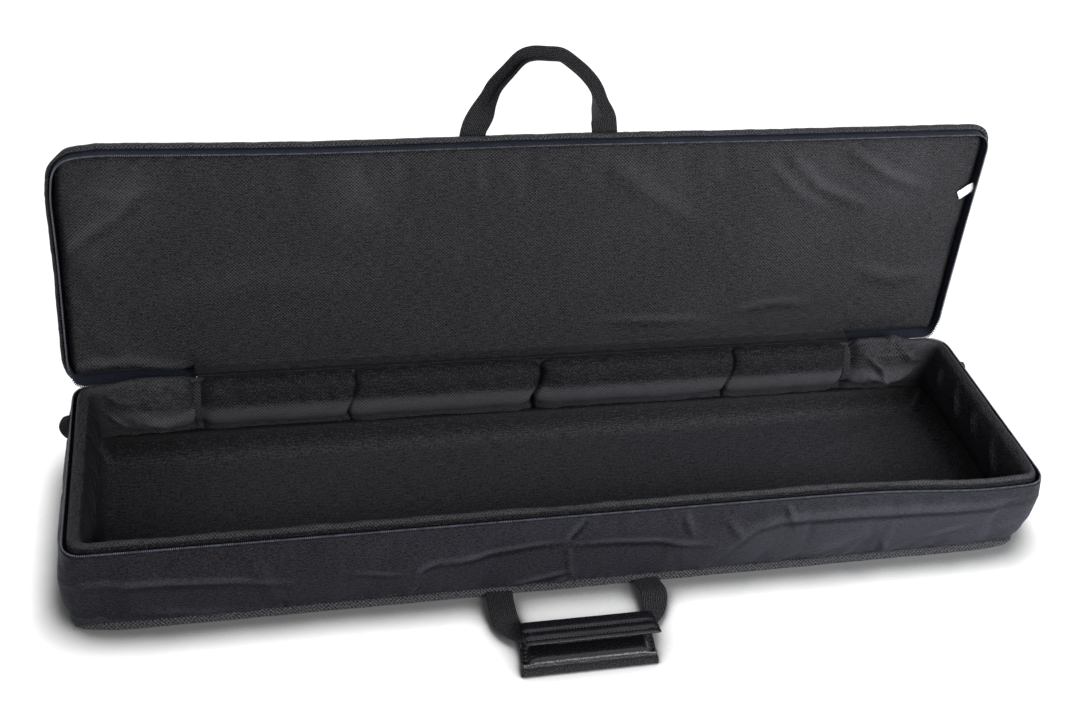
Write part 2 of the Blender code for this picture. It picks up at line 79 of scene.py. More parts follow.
# Sizes of the bag's make-up
CORNER_RADIUS = 0.038
CORNER_FULLNESS = 0.12
CLOTH = 0.0012
CLOTH_FOOT, CLOTH_TOP = 0.0012, WALL_HEIGHT - 0.0056
ZIP_INSET = 0.0020
LID_TOP = WALL_HEIGHT + 0.025
WEBBING = 0.038

# Mesh spacing
STEP = 0.0045
FINE = 0.0034


# Shapes of numbers

def metres(millimetres):
    return np.array(millimetres) / 1000


def smoothstep(value, low, high):
    share = np.clip((value - low) / (high - low), 0, 1)
    return share * share * (3 - 2 * share)


def window(value, low, high, soft):
    """1 between two limits and 0 outside them, with soft ends."""
    return smoothstep(value, low - soft, low + soft) * (1 - smoothstep(value, high - soft, high + soft))


def bump(value, middle, width):
    return np.exp(-(((value - middle) / width) ** 2))


def xyz(x, y, z=0.0):
    """Points from their coordinates, each of them a number or a grid."""
    return np.stack(np.broadcast_arrays(x, y, z), -1)


def unit(ways):
    return ways / np.maximum(np.linalg.norm(ways, axis=-1, keepdims=True), 1e-12)


def wander(points, size, seed, octaves):
    """Smooth random values from about -1 to 1 at points in space, with features of one size."""
    chance = np.random.default_rng(seed)
    shuffled = chance.permutation(256)
    slopes = unit(chance.normal(size=(256, 3)))
    place = np.asarray(points, float) / size
    total, weight, whole = 0, 1.0, 0.0
    for _ in range(octaves):
        cell = np.floor(place).astype(int)
        inside = place - cell
        fade = inside ** 3 * (inside * (inside * 6 - 15) + 10)
        value = 0
        for corner in np.ndindex(2, 2, 2):
            at = cell + corner
            code = shuffled[(shuffled[(shuffled[at[..., 0] & 255] + at[..., 1]) & 255] + at[..., 2]) & 255]
            share = np.where(np.array(corner, bool), fade, 1 - fade).prod(-1)
            value = value + share * (slopes[code] * (inside - corner)).sum(-1)
        total = total + weight * value
        whole += weight
        weight /= 2
        place = place * 2 + 11.3
    return 1.7 * total / whole


def crease(u, v, route, width, height, lean):
    """Height of a fold that runs along a route in the cloth's own coordinates and fades at its ends.

    route, width and height are in millimetres. A leaning fold has a hollow beside its ridge, on the left
    of its route where lean is above 0.
    """
    route, width, height = metres(route), metres(width), metres(height)
    nearest = np.full(np.shape(u), np.inf)
    along = np.zeros(np.shape(u))
    beside = np.zeros(np.shape(u))
    passed = 0.0
    for a, b in zip(route, route[1:]):
        leg = np.linalg.norm(b - a)
        way = (b - a) / leg
        run = np.clip((u - a[0]) * way[0] + (v - a[1]) * way[1], 0, leg)
        du, dv = u - a[0] - run * way[0], v - a[1] - run * way[1]
        distance = np.hypot(du, dv)
        closer = distance < nearest
        nearest = np.where(closer, distance, nearest)
        along = np.where(closer, passed + run, along)
        beside = np.where(closer, dv * way[0] - du * way[1], beside)
        passed += leg
    ends = np.sin(np.pi * np.clip(along / passed, 0.04, 0.96)) ** 0.6
    return height * ends * np.exp(-((nearest / width) ** 2)) * (1 - lean * beside / width)


def creases(u, v, folds):
    return sum(crease(u, v, *fold) for fold in folds)


def run_lengths(points):
    """Distance along a line of points, from its first point."""
    steps = np.linalg.norm(np.diff(points, axis=0), axis=-1)
    return np.concatenate([[0], np.cumsum(steps)])


def run_round(loop):
    """Distance round a closed line, with one more value where it closes."""
    return run_lengths(np.vstack([loop, loop[:1]]))


def smooth_closed(count, controls):
    """Weights that draw a smooth closed line of count points through a number of controls."""
    t = np.arange(count) * controls / count
    first = np.floor(t).astype(int)
    f = t - first
    weights = np.zeros((count, controls))
    shares = (
        (-1, (-f + 2 * f ** 2 - f ** 3) / 2),
        (0, (2 - 5 * f ** 2 + 3 * f ** 3) / 2),
        (1, (f + 4 * f ** 2 - 3 * f ** 3) / 2),
        (2, (f ** 3 - f ** 2) / 2),
    )
    for offset, share in shares:
        weights[np.arange(count), (first + offset) % controls] += share
    return weights


def smooth_open(stations, count):
    """Points on a smooth curve through stations, evenly spread over them."""
    stations = np.asarray(stations, float)
    t = np.linspace(0, len(stations) - 1, count)
    first = np.minimum(np.floor(t).astype(int), len(stations) - 2)
    f = (t - first)[:, None]
    a, b, c, d = (stations[np.clip(first + n, 0, len(stations) - 1)] for n in (-1, 0, 1, 2))
    bend = 2 * a - 5 * b + 4 * c - d
    return (2 * b + (c - a) * f + bend * f ** 2 + (3 * b - a - 3 * c + d) * f ** 3) / 2


def finer(field, rows, columns, closed=False):
    """A field on a coarse grid, read at a finer one and smoothed."""
    if closed:
        field = np.concatenate([field, field[:1]])
    for axis, count in ((0, rows), (1, columns)):
        t = np.linspace(0, field.shape[axis] - 1, count + (closed and axis == 0))
        low = np.minimum(t.astype(int), field.shape[axis] - 2)
        shape = [1] * field.ndim
        shape[axis] = -1
        share = (t - low).reshape(shape)
        field = field.take(low, axis) * (1 - share) + field.take(low + 1, axis) * share
        if closed and axis == 0:
            field = field.take(np.arange(count), axis)
    for axis in (0, 1):
        mean = (np.roll(field, 1, axis) + 2 * field + np.roll(field, -1, axis)) / 4
        if not (closed and axis == 0):
            edge = [slice(None)] * field.ndim
            for side in (0, -1):
                edge[axis] = side
                mean[tuple(edge)] = field[tuple(edge)]
        field = mean
    return field


# The bag's outline, as places along its wall from the middle of the front

def outline_keys():
    """Where each straight and each corner of the outline ends: distance, centre of turning and angle."""
    across, along = HALF_LENGTH - CORNER_RADIUS, HALF_DEPTH - CORNER_RADIUS
    turn = CORNER_RADIUS * math.pi / 2
    keys = [(0, 0, -along, -math.pi / 2)]
    for length, x, y, quarters in (
        (across, across, -along, -1),
        (turn, across, -along, 0),
        (2 * along, across, along, 0),
        (turn, across, along, 1),
        (2 * across, -across, along, 1),
        (turn, -across, along, 2),
        (2 * along, -across, -along, 2),
        (turn, -across, -along, 3),
        (across, 0, -along, 3),
    ):
        keys.append((keys[-1][0] + length, x, y, quarters * math.pi / 2))
    return np.array(keys).T


RING_AT, RING_X, RING_Y, RING_TURN = outline_keys()
PERIMETER = RING_AT[-1]
FRONT_CORNER = (RING_AT[1] + RING_AT[2]) / 2
REAR_CORNER = (RING_AT[3] + RING_AT[4]) / 2
REAR_START = RING_AT[4]
WRAP_END = REAR_START + HALF_LENGTH - CORNER_RADIUS - ZIP_END


def full_radius(radius, turn):
    """The outline's radius at an angle of a corner, whose padding makes it fuller than round."""
    return radius * (1 + CORNER_FULLNESS * np.sin(2 * turn) ** 2)


def ring(distance, inset=0.0, height=0.0):
    """Points on the outline, drawn in by an inset, at distances along the wall and heights."""
    at = np.mod(distance, PERIMETER)
    turn = np.interp(at, RING_AT, RING_TURN)
    radius = full_radius(CORNER_RADIUS - inset, turn)
    x = np.interp(at, RING_AT, RING_X) + radius * np.cos(turn)
    y = np.interp(at, RING_AT, RING_Y) + radius * np.sin(turn)
    return xyz(x, y, height)


def round_the_wall(step):
    """Even places along the whole outline."""
    rows = int(PERIMETER / step)
    return np.arange(rows) * PERIMETER / rows


def spans(rows):
    """The outline's distances for a closed mesh of so many rows."""
    return np.linspace(0, PERIMETER, rows + 1)[:, None]


def from_front(distance):
    """Distance from the middle of the front, either way round: 0 there and half the outline at the back."""
    at = np.mod(distance, PERIMETER)
    return np.minimum(at, PERIMETER - at)


def near_corners(distance, width):
    away = from_front(distance)
    return bump(away, FRONT_CORNER, width) + bump(away, REAR_CORNER, width)


def panel_places(inset, step):
    """A grid over the bag's plan: rows run along the bag and columns across it, closer at the edges."""
    half_depth = HALF_DEPTH - inset
    columns = int(2 * half_depth / step)
    y = -half_depth * np.cos(np.pi * np.arange(columns + 1) / columns)
    y = 0.7 * np.linspace(-half_depth, half_depth, columns + 1) + 0.3 * y
    radius = CORNER_RADIUS - inset
    past = np.clip(np.abs(y) - (half_depth - radius), 0, radius)
    turn = np.linspace(0, math.pi / 2, 200)
    corner = full_radius(radius, turn)
    reach = HALF_LENGTH - CORNER_RADIUS + np.interp(past, corner * np.sin(turn), corner * np.cos(turn))
    rows = int(2 * HALF_LENGTH / step)
    share = np.linspace(-1, 1, rows + 1)
    return share[:, None] * reach, np.broadcast_to(y, (rows + 1, columns + 1))


def panel_edge(x, y, inset=0.0):
    """Distance from the edge of a panel."""
    return np.minimum(HALF_LENGTH - inset - np.abs(x), HALF_DEPTH - inset - np.abs(y))


# How the soft bag hangs

OPENED = Matrix.Translation(HINGE) @ Matrix.Rotation(-OPEN_ANGLE, 4, "X") @ Matrix.Translation(-HINGE)
# Drop of the lid's two lower corners, past the ends of its hinge, with more at the left one's tip, and
# of the tape that hangs free there
LID_DROP = {-1: 0.0085, 1: 0.0080}
LID_TIP_DROP = 0.0020
TAPE_DROOP = {-1: 0.0124, 1: 0.0112}
# Sags of the lid's upper edge: place along the bag, width and depth
LID_SAGS = ((-0.36, 0.32, 0.0070), (0.30, 0.30, 0.0028))
# The lid's upper left corner is cut off by so much along the bag and down, over this distance
LID_CUT, LID_CUT_REACH = (0.0130, 0.0120), 0.085


def turn_open(ways):
    return ways @ np.array(OPENED)[:3, :3].T


def open_up(points):
    """Turns points of the closed lid to where they lie with the lid open."""
    return turn_open(points) + np.array(OPENED)[:3, 3]


def lid_slump(points):
    """Points of the closed lid, moved as its soft corners and edges hang when it stands open."""
    x, y, z = np.moveaxis(points, -1, 0)
    away = np.abs(x)
    left, right = smoothstep(-x, 0.49, 0.68), smoothstep(x, 0.52, 0.68)
    low, high = smoothstep(y, -0.04, 0.17), smoothstep(-y, -0.02, 0.17)
    drop = LID_TIP_DROP * smoothstep(-x, 0.60, 0.67)
    for side, depth in LID_DROP.items():
        drop = drop + depth * smoothstep(side * x, ZIP_END - 0.024, ZIP_END + 0.008)
    free = np.clip((LID_TOP - z) / (LID_TOP - WALL_HEIGHT), 0, 1) * smoothstep(y, 0.152, 0.168)
    free = free * smoothstep(away, ZIP_END - 0.016, ZIP_END + 0.004) * (1 - smoothstep(away, 0.680, 0.705))
    droop = free * np.where(x < 0, TAPE_DROOP[-1], TAPE_DROOP[1])
    sag = high * sum(depth * bump(x, middle, width) for middle, width, depth in LID_SAGS)
    cut = np.clip(1 - (x + HALF_LENGTH) / LID_CUT_REACH, 0, 1)
    cut = cut * np.clip(1 - (y + HALF_DEPTH) / LID_CUT_REACH, 0, 1)
    moved = points.copy()
    moved[..., 0] += right * (0.0050 * high - 0.0030 * low) - left * (0.0030 + 0.0045 * low)
    moved[..., 0] += LID_CUT[0] * cut ** 2
    moved[..., 1] += drop * smoothstep(y, 0.06, 0.165) + sag + droop + LID_CUT[1] * cut ** 2
    return moved


def tray_slump(points):
    """Points of the tray, moved as its front rim sags and leans out near the right end."""
    x, y, z = np.moveaxis(points, -1, 0)
    high = smoothstep(z, 0.010, 0.125)
    front = 1 - smoothstep(y, -0.14, 0.10)
    moved = points.copy()
    moved[..., 0] += 0.0090 * smoothstep(x, 0.56, 0.69) * high * (0.35 + 0.65 * front)
    moved[..., 1] -= 0.0050 * bump(x, 0.60, 0.13) * high * front
    moved[..., 2] -= 0.0090 * bump(x, 0.61, 0.13) * high * front
    return moved


# Meshes

def grid_normals(points, closed=(False, False)):
    ways = []
    for axis in (0, 1):
        if closed[axis]:
            ways.append(np.roll(points, -1, axis) - np.roll(points, 1, axis))
        else:
            ways.append(np.gradient(points, axis=axis))
    return unit(np.cross(*ways))


def link(made):
    bpy.context.scene.collection.objects.link(made)
    return made


def add_mesh(name, points, faces, domain, places):
    """A smooth mesh. Its cloth attribute holds places in the weave, for each of its points or corners."""
    mesh = bpy.data.meshes.new(name)
    mesh.from_pydata(points.reshape(-1, 3).tolist(), [], faces)
    mesh.attributes.new("cloth", "FLOAT_VECTOR", domain)
    mesh.attributes["cloth"].data.foreach_set("vector", places.astype(np.float32).ravel())
    mesh.shade_smooth()
    return link(bpy.data.objects.new(name, mesh))


def surface(name, points, along, across, closed=(False, False), caps=False, tone_and_painted_light=0.0):
    """A mesh through a grid of points, with faces that point to rows x columns.

    along and across are the cloth's own coordinates in metres, with one more value where the grid closes
    on itself. The last argument is light and shade painted into its colour, from 1, painted
    lighter, to -1, painted darker.
    """
    rows, columns = points.shape[:2]
    extra = [(0, int(wrap)) for wrap in closed]
    number = np.pad(np.arange(rows * columns).reshape(rows, columns), extra, "wrap")
    tone_and_painted_light = np.pad(np.broadcast_to(np.asarray(tone_and_painted_light, float), (rows, columns)), extra, "wrap")
    weave = xyz(along, across, tone_and_painted_light)
    near, far = slice(None, -1), slice(1, None)
    corners = ((near, near), (far, near), (far, far), (near, far))
    faces = np.stack([number[at] for at in corners], -1).reshape(-1, 4).tolist()
    places = [np.stack([weave[at] for at in corners], 2).reshape(-1, 3)]
    if caps:
        for end, order in ((0, 1), (-1, -1)):
            faces.append(number[end, :-1][::order].tolist())
            places.append(weave[end, :-1][::order])
    return add_mesh(name, points, faces, "CORNER", np.concatenate(places))


def thicken(made, thickness, offset=-1):
    layer = made.modifiers.new("Thickness", "SOLIDIFY")
    layer.thickness = thickness
    layer.offset = offset


def dress(made, paint, body, replaced=()):
    """Gives a piece its material and the body that carries it, and hides the parts that it stands for."""
    made.data.materials.append(paint)
    if body:
        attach(made, body)
    if replaced:
        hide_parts(*replaced)


def settle(points, held, growth, bending, gravity=(0, 0, 0), closed=False, frames=18):
    """Runs a cloth simulation on a grid that is a little larger than its frame and returns its points."""
    rows, columns = points.shape[:2]
    along, across = np.arange(rows + closed)[:, None], np.arange(columns)[None, :]
    made = surface("settling", points, along, across, (closed, False))
    pins = made.vertex_groups.new(name="pins")
    for level in (0, 1):
        pins.add(np.flatnonzero(held == level).tolist(), level, "REPLACE")
    cloth = made.modifiers.new("Cloth", "CLOTH")
    settings = {
        "quality": 6, "mass": 0.15, "air_damping": 2, "tension_stiffness": 20,
        "compression_stiffness": 20, "shear_stiffness": 8, "bending_stiffness": bending,
        "vertex_group_mass": "pins", "shrink_min": -growth,
    }
    for name, value in settings.items():
        setattr(cloth.settings, name, value)
    cloth.point_cache.frame_end = frames
    scene = bpy.context.scene
    kept = scene.gravity.copy()
    scene.gravity = gravity
    for number in range(1, frames + 1):
        scene.frame_set(number)
    evaluated = made.evaluated_get(bpy.context.evaluated_depsgraph_get())
    moved = np.zeros(rows * columns * 3)
    evaluated.data.vertices.foreach_get("co", moved)
    scene.frame_set(1)
    scene.gravity = kept
    mesh = made.data
    bpy.data.objects.remove(made)
    bpy.data.meshes.remove(mesh)
    return moved.reshape(rows, columns, 3)


# Materials

def add_node(tree, kind, *values, **named):
    """Adds a node. Its inputs, in order or by name, are set to values or joined to the outputs given."""
    made = tree.nodes.new("ShaderNode" + kind)
    for key, value in [*enumerate(values), *named.items()]:
        socket = made.inputs[key.replace("_", " ") if isinstance(key, str) else key]
        if isinstance(value, Flow):
            value = value.socket
        if isinstance(value, bpy.types.NodeSocket):
            tree.links.new(value, socket)
        else:
            socket.default_value = value
    return made


class Flow:
    """A value that a material's nodes work out, for further sums."""

    def __init__(self, tree, socket):
        self.tree = tree
        self.socket = socket

    def math(self, operation, other=0.0):
        made = add_node(self.tree, "Math", self, other)
        made.operation = operation
        return Flow(self.tree, made.outputs[0])

    def __add__(self, other):
        return self.math("ADD", other)

    def __sub__(self, other):
        return self.math("SUBTRACT", other)

    def __mul__(self, other):
        return self.math("MULTIPLY", other)

    def __truediv__(self, other):
        return self.math("DIVIDE", other)

    def wave(self, pitch):
        return (self * (2 * math.pi / pitch)).math("SINE")

    def spread(self, low, high, to_low, to_high):
        """The value, taken from one range to another and kept inside it."""
        made = add_node(self.tree, "MapRange", self, low, high, to_low, to_high)
        return Flow(self.tree, made.outputs["Result"])


class Paint:
    """A material whose nodes are added by short calls."""

    def __init__(self, name, colour, roughness, specular=0.5, sheen=0.0, metallic=0.0):
        self.made = bpy.data.materials.new(name)
        self.made.use_nodes = True
        self.tree = self.made.node_tree
        self.sockets = self.tree.nodes["Principled BSDF"].inputs
        self.colour = colour
        values = {
            "Base Color": (*colour, 1), "Roughness": roughness, "Specular IOR Level": specular,
            "Metallic": metallic, "Sheen Weight": sheen, "Sheen Roughness": 0.45,
            "Sheen Tint": (0.72, 0.78, 1.0, 1),
        }
        for socket, value in values.items():
            self.sockets[socket].default_value = value

    def cloth(self):
        """The cloth's own coordinates, along and across in metres, and the light and shade painted into it.
        """
        made = add_node(self.tree, "Attribute")
        made.attribute_name = "cloth"
        split = add_node(self.tree, "SeparateXYZ", made.outputs["Vector"])
        return [Flow(self.tree, part) for part in split.outputs]

    def noise(self, place, scale, detail, roughness):
        made = add_node(self.tree, "TexNoise", Vector=place, Scale=scale, Detail=detail, Roughness=roughness)
        return Flow(self.tree, made.outputs["Fac"])

    def grain(self, u, v, along, across, detail=2.0, seed=0.0):
        """Noise with features of a length along the cloth and another across it."""
        place = add_node(self.tree, "CombineXYZ", u / along, v / across, seed)
        return self.noise(place.outputs[0], 1.0, detail, 0.6)

    def join(self, out, name):
        self.tree.links.new(out, self.sockets[name])

    def tone(self, share, dark, light, low=0.38, high=0.62):
        """Colours from a share of the base colour to another, as a value goes from low to high."""
        ramp = add_node(self.tree, "ValToRGB", share)
        stops = ramp.color_ramp.elements
        for stop, position, factor in zip(stops, (low, high), (dark, light)):
            stop.position = position
            stop.color = (*(factor * part for part in self.colour), 1)
        self.join(ramp.outputs["Color"], "Base Color")

    def relief(self, height, depth, strength):
        made = add_node(self.tree, "Bump", Height=height, Distance=depth, Strength=strength)
        self.join(made.outputs["Normal"], "Normal")

    def rough(self, share, low, high):
        self.join(share.spread(0.0, 1.0, low, high).socket, "Roughness")


def outer_paint():
    """Matte fine-weave cloth, nearly black, with a cold sheen."""
    paint = Paint("outer_cloth", (0.0142, 0.0142, 0.0178), 0.55, specular=0.06, sheen=0.03)
    u, v, tone_and_painted_light = paint.cloth()
    weave = u.wave(0.0048) * v.wave(0.0048)
    threads = paint.grain(u, v, 0.0070, 0.0020, seed=3.0)
    mottle = paint.grain(u, v, 0.0028, 0.0028, detail=3.0)
    # Painted light and shade from the mesh shift the tone, along with the threads and mottle.
    mottle_and_painted_light = threads * 0.4 + mottle * 0.6 + tone_and_painted_light * 0.10
    paint.tone(weave * 0.035 + mottle_and_painted_light, 0.36, 3.1, 0.36, 0.76)
    paint.relief(weave + mottle, 0.00035, 0.8)
    paint.rough(mottle, 0.45, 0.70)
    return paint.made


def lining_paint(name, colour, gloss=1.0):
    """Charcoal lining with fine streaks along the bag and a small crosshatch, with glints painted on it in
    patches.

    gloss is how strongly the crosshatch shows, in its relief and in its painted glints.
    """
    paint = Paint(name, colour, 0.55, specular=0.06, sheen=0.03)
    u, v, tone_and_painted_light = paint.cloth()
    hatch = ((u + v).wave(0.0050) + (u - v).wave(0.0050)) * 0.5
    # Painted highlights: the crosshatch is painted lighter in patches, as glints, and more where the mesh
    # paints light; that painted light and shade also shifts the tone below.
    patches = paint.grain(u, v, 0.16, 0.11, seed=9.0).spread(0.42, 0.62, 0.04 * gloss, 0.17 * gloss)
    patches = (patches + tone_and_painted_light * (0.13 * gloss)).math("MAXIMUM", 0.01)
    glints = hatch.math("MAXIMUM", -0.25) * patches
    streaks = paint.grain(u, v, 0.015, 0.0017, detail=3.0)
    speckle = paint.grain(u, v, 0.0030, 0.0021, seed=5.0)
    paint.tone(streaks * 0.42 + speckle * 0.58 + tone_and_painted_light * 0.07 + glints, 0.28, 3.7, 0.38, 0.75)
    paint.relief(hatch * gloss + streaks, 0.00040, 0.8)
    paint.rough(streaks, 0.40, 0.62)
    return paint.made


def ribbed_paint(name, colour, pitch, light, along=False, depth=0.0005, contrast=0.08):
    """Ribbed tape: slanting cords, or cords along it, with a zigzag of thread over them."""
    paint = Paint(name, colour, 0.68, specular=0.08, sheen=0.04)
    u, v, _ = paint.cloth()
    ribs, twist = (v, u) if along else (u + v, u - v)
    mixed = ribs.wave(pitch) + twist.wave(pitch * 1.2) * 0.45
    fuzz = paint.grain(u, v, 0.0022, 0.0022, detail=3.0)
    paint.tone(mixed * contrast + fuzz, 0.35, light)
    paint.relief(mixed, depth, 0.9)
    return paint.made


def tape_paint():
    """Smooth blue-black zip tape with a fine herringbone."""
    paint = Paint("zip_tape_cloth", (0.0165, 0.0185, 0.0300), 0.5, specular=0.12, sheen=0.05)
    u, v, _ = paint.cloth()
    twill = (u + v.math("PINGPONG", 0.0024)).wave(0.0020)
    paint.tone(paint.grain(u, v, 0.006, 0.0016), 0.7, 1.4)
    paint.relief(twill, 0.00018, 0.6)
    return paint.made


def coil_paint():
    paint = Paint("zip_coil_nylon", (0.070, 0.076, 0.096), 0.34, specular=0.4)
    u, v, _ = paint.cloth()
    paint.tone(paint.grain(u, v, 0.01, 0.01), 0.7, 1.4)
    return paint.made


def leather_paint():
    """Glossy black leatherette with a fine pebble grain."""
    paint = Paint("black_leatherette", (0.0070, 0.0070, 0.0095), 0.27, specular=0.38)
    u, v, _ = paint.cloth()
    place = add_node(paint.tree, "CombineXYZ", u, v)
    cells = add_node(paint.tree, "TexVoronoi", Vector=place.outputs[0], Scale=520.0)
    cells.feature = "SMOOTH_F1"
    wrinkle = paint.grain(u, v, 0.0040, 0.0026, detail=4.0)
    paint.tone(wrinkle, 0.6, 1.8)
    paint.relief(wrinkle * 0.9 + cells.outputs["Distance"], 0.0003, 0.6)
    paint.rough(wrinkle, 0.20, 0.36)
    return paint.made


def fuzz_paint():
    """Hook and loop tape: a dull grey pile."""
    paint = Paint("hook_pile", (0.021, 0.021, 0.022), 0.95, specular=0.05, sheen=0.06)
    u, v, _ = paint.cloth()
    pile = paint.grain(u, v, 0.0018, 0.0018, detail=4.0)
    paint.tone(pile, 0.2, 2.6)
    paint.relief(pile, 0.0014, 1.0)
    return paint.made


def thread_paint():
    paint = Paint("thread", (0.080, 0.082, 0.092), 0.6, specular=0.3, sheen=0.1)
    u, v, _ = paint.cloth()
    paint.tone((u + v).wave(0.0012), 0.7, 1.3)
    return paint.made


def label_paint():
    paint = Paint("label_cloth", (0.86, 0.86, 0.88), 0.7, specular=0.3)
    u, v, _ = paint.cloth()
    paint.tone(paint.grain(u, v, 0.003, 0.003), 0.92, 1.05)
    paint.relief(u.wave(0.0009) * v.wave(0.0009), 0.0001, 0.4)
    return paint.made


def metal_paint():
    """Black lacquered metal with fine scuffs."""
    paint = Paint("black_lacquer", (0.028, 0.028, 0.030), 0.33, metallic=1.0)
    place = add_node(paint.tree, "TexCoord").outputs["Object"]
    scuffs = paint.noise(place, 900.0, 4.0, 0.5)
    paint.tone(scuffs, 0.7, 2.2)
    paint.rough(scuffs, 0.25, 0.5)
    paint.relief(scuffs, 0.00004, 0.5)
    return paint.made


OUTER = outer_paint()
LINED = lining_paint("lining_cloth", (0.0172, 0.0171, 0.0188))
# A copy of the lining for the floor, painted lighter to make up for its light, with weaker painted glints.
FLOOR_LINED = lining_paint("floor_lining_cloth", (0.0215, 0.0213, 0.0240), gloss=0.15)
BINDING = ribbed_paint("ribbed_binding", (0.025, 0.025, 0.027), 0.0052, 3.6)
SEAM_BINDING = ribbed_paint("ribbed_seam_binding", (0.018, 0.018, 0.020), 0.0052, 2.6)
WEBBED = ribbed_paint("ribbed_webbing", (0.0170, 0.0170, 0.0184), 0.00253, 3.0, along=True, depth=0.0006,
                      contrast=0.12)
TAPE = tape_paint()
COIL = coil_paint()
LEATHER = leather_paint()
PILE = fuzz_paint()
THREAD = thread_paint()
LABEL = label_paint()
METAL = metal_paint()


# The tray's outer cloth

# Folds, here and below: route, width, height and lean. On the front, the route is in place along the bag
# and height; on the sides, in distance along the wall from the middle of the front and height.
FRONT_FOLDS = (
    ([(-690, 87), (-570, 86), (-469, 78), (-404, 65)], 6, 7.68, 0.9),
    ([(-328, 74), (-252, 62)], 4, 4.16, 0.8),
    ([(-250, 2), (-231, 37), (-229, 65), (-205, 79)], 5.5, 10.56, -1.0),
    ([(-223, 78), (-170, 81), (-76, 93), (-28, 95)], 5, 7.36, 0.9),
    ([(-2, 130), (-23, 100), (-24, 81), (-15, 23), (-34, 5)], 5.5, 13.44, 1.2),
    ([(-18, 88), (41, 87), (107, 81), (185, 68)], 5, 7.04, 0.9),
    ([(-98, 18), (-60, 26), (-19, 35)], 5, 8.96, 0.8),
    ([(176, 2), (215, 50), (251, 89), (294, 98), (444, 98), (672, 104)], 8, 10.56, -0.9),
    ([(458, 16), (452, 45), (458, 80)], 6, 7.36, 1.0),
    ([(520, 46), (580, 68)], 6, 6.08, 0.7),
    ([(142, 126), (153, 90)], 6, 7.04, 0.9),
    ([(205, 112), (230, 76)], 7, 5.76, 0.8),
    ([(287, 128), (303, 90)], 6, 8.0, -0.9),
    ([(-449, 112), (-430, 60), (-412, 16)], 12, 5.76, 0.5),
    ([(-600, 36), (-520, 20), (-440, 14)], 9, 5.12, 0.6),
    ([(330, 26), (390, 48), (430, 74)], 11, 5.44, 0.7),
    ([(600, 20), (640, 50), (688, 70)], 10, 5.44, 0.6),
)
SIDE_FOLDS = (
    ([(740, 100), (820, 84), (930, 92)], 8, 4.4, 0.8),
    ([(800, 30), (880, 46), (960, 34)], 10, 4.0, 0.6),
    ([(1030, 112), (1120, 88), (1240, 78), (1400, 86)], 8, 4.4, 0.8),
    ([(1300, 20), (1360, 50), (1470, 62), (1620, 58)], 9, 3.8, -0.7),
    ([(1160, 10), (1180, 60)], 7, 4.0, 0.9),
)
END_SWELL = {-1: 0.0030, 1: 0.0070}
# Furthest that the cloth is pushed in and out, and how much less out between these places, at the handle
PUSH_IN, PUSH_OUT = -0.0030, 0.0145
HANDLE_HOLD = 0.0100
HANDLE_FROM, HANDLE_TO = -0.150, 0.128


def pucker(distance, depth, seed, size=0.011):
    """Small gathers where cloth is sewn into a seam, along the wall."""
    place = xyz(distance, 0.5, 0.5)
    return depth * wander(place, size, seed, 2) * (0.3 + 0.9 * np.abs(wander(place, 0.14, seed + 1, 1)))


def wall_slump(distance, height):
    """How far the soft wall leans in from the frame at its rounded lower corners."""
    return (0.0008 + 0.0105 * near_corners(distance, 0.050)) * (1 - smoothstep(height, 0, 0.034)) ** 2


def settled_wall():
    """How the wall's cloth, cut a little long, swells between its two seams: moves on a coarse grid."""
    height = np.linspace(CLOTH_FOOT, CLOTH_TOP, 18)
    rest = ring(round_the_wall(0.0075)[:, None], -0.0008 * np.sin(np.pi * height / CLOTH_TOP), height)
    held = np.zeros(rest.shape[:2])
    held[:, 0] = held[:, -1] = 1
    return settle(rest, held, 0.030, 1.0, closed=True) - rest


def painted_wall_light(along, heights, slope):
    """Painted light and shade on the wall: lighter at the front's right, darker at its left, and by its
    folds' slopes.
    """
    front = 0.9 * window(along, 0.21, 0.70, 0.05) * (1 - smoothstep(heights, 0.088, 0.102))
    front = front + 0.5 * window(along, 0.30, 0.70, 0.14) - 0.5 * (1 - smoothstep(along, -0.55, 0.0))
    return np.where(np.abs(along) < FRONT_CORNER, front, 0) - 1.9 * np.clip(slope, -1.0, 1.0)


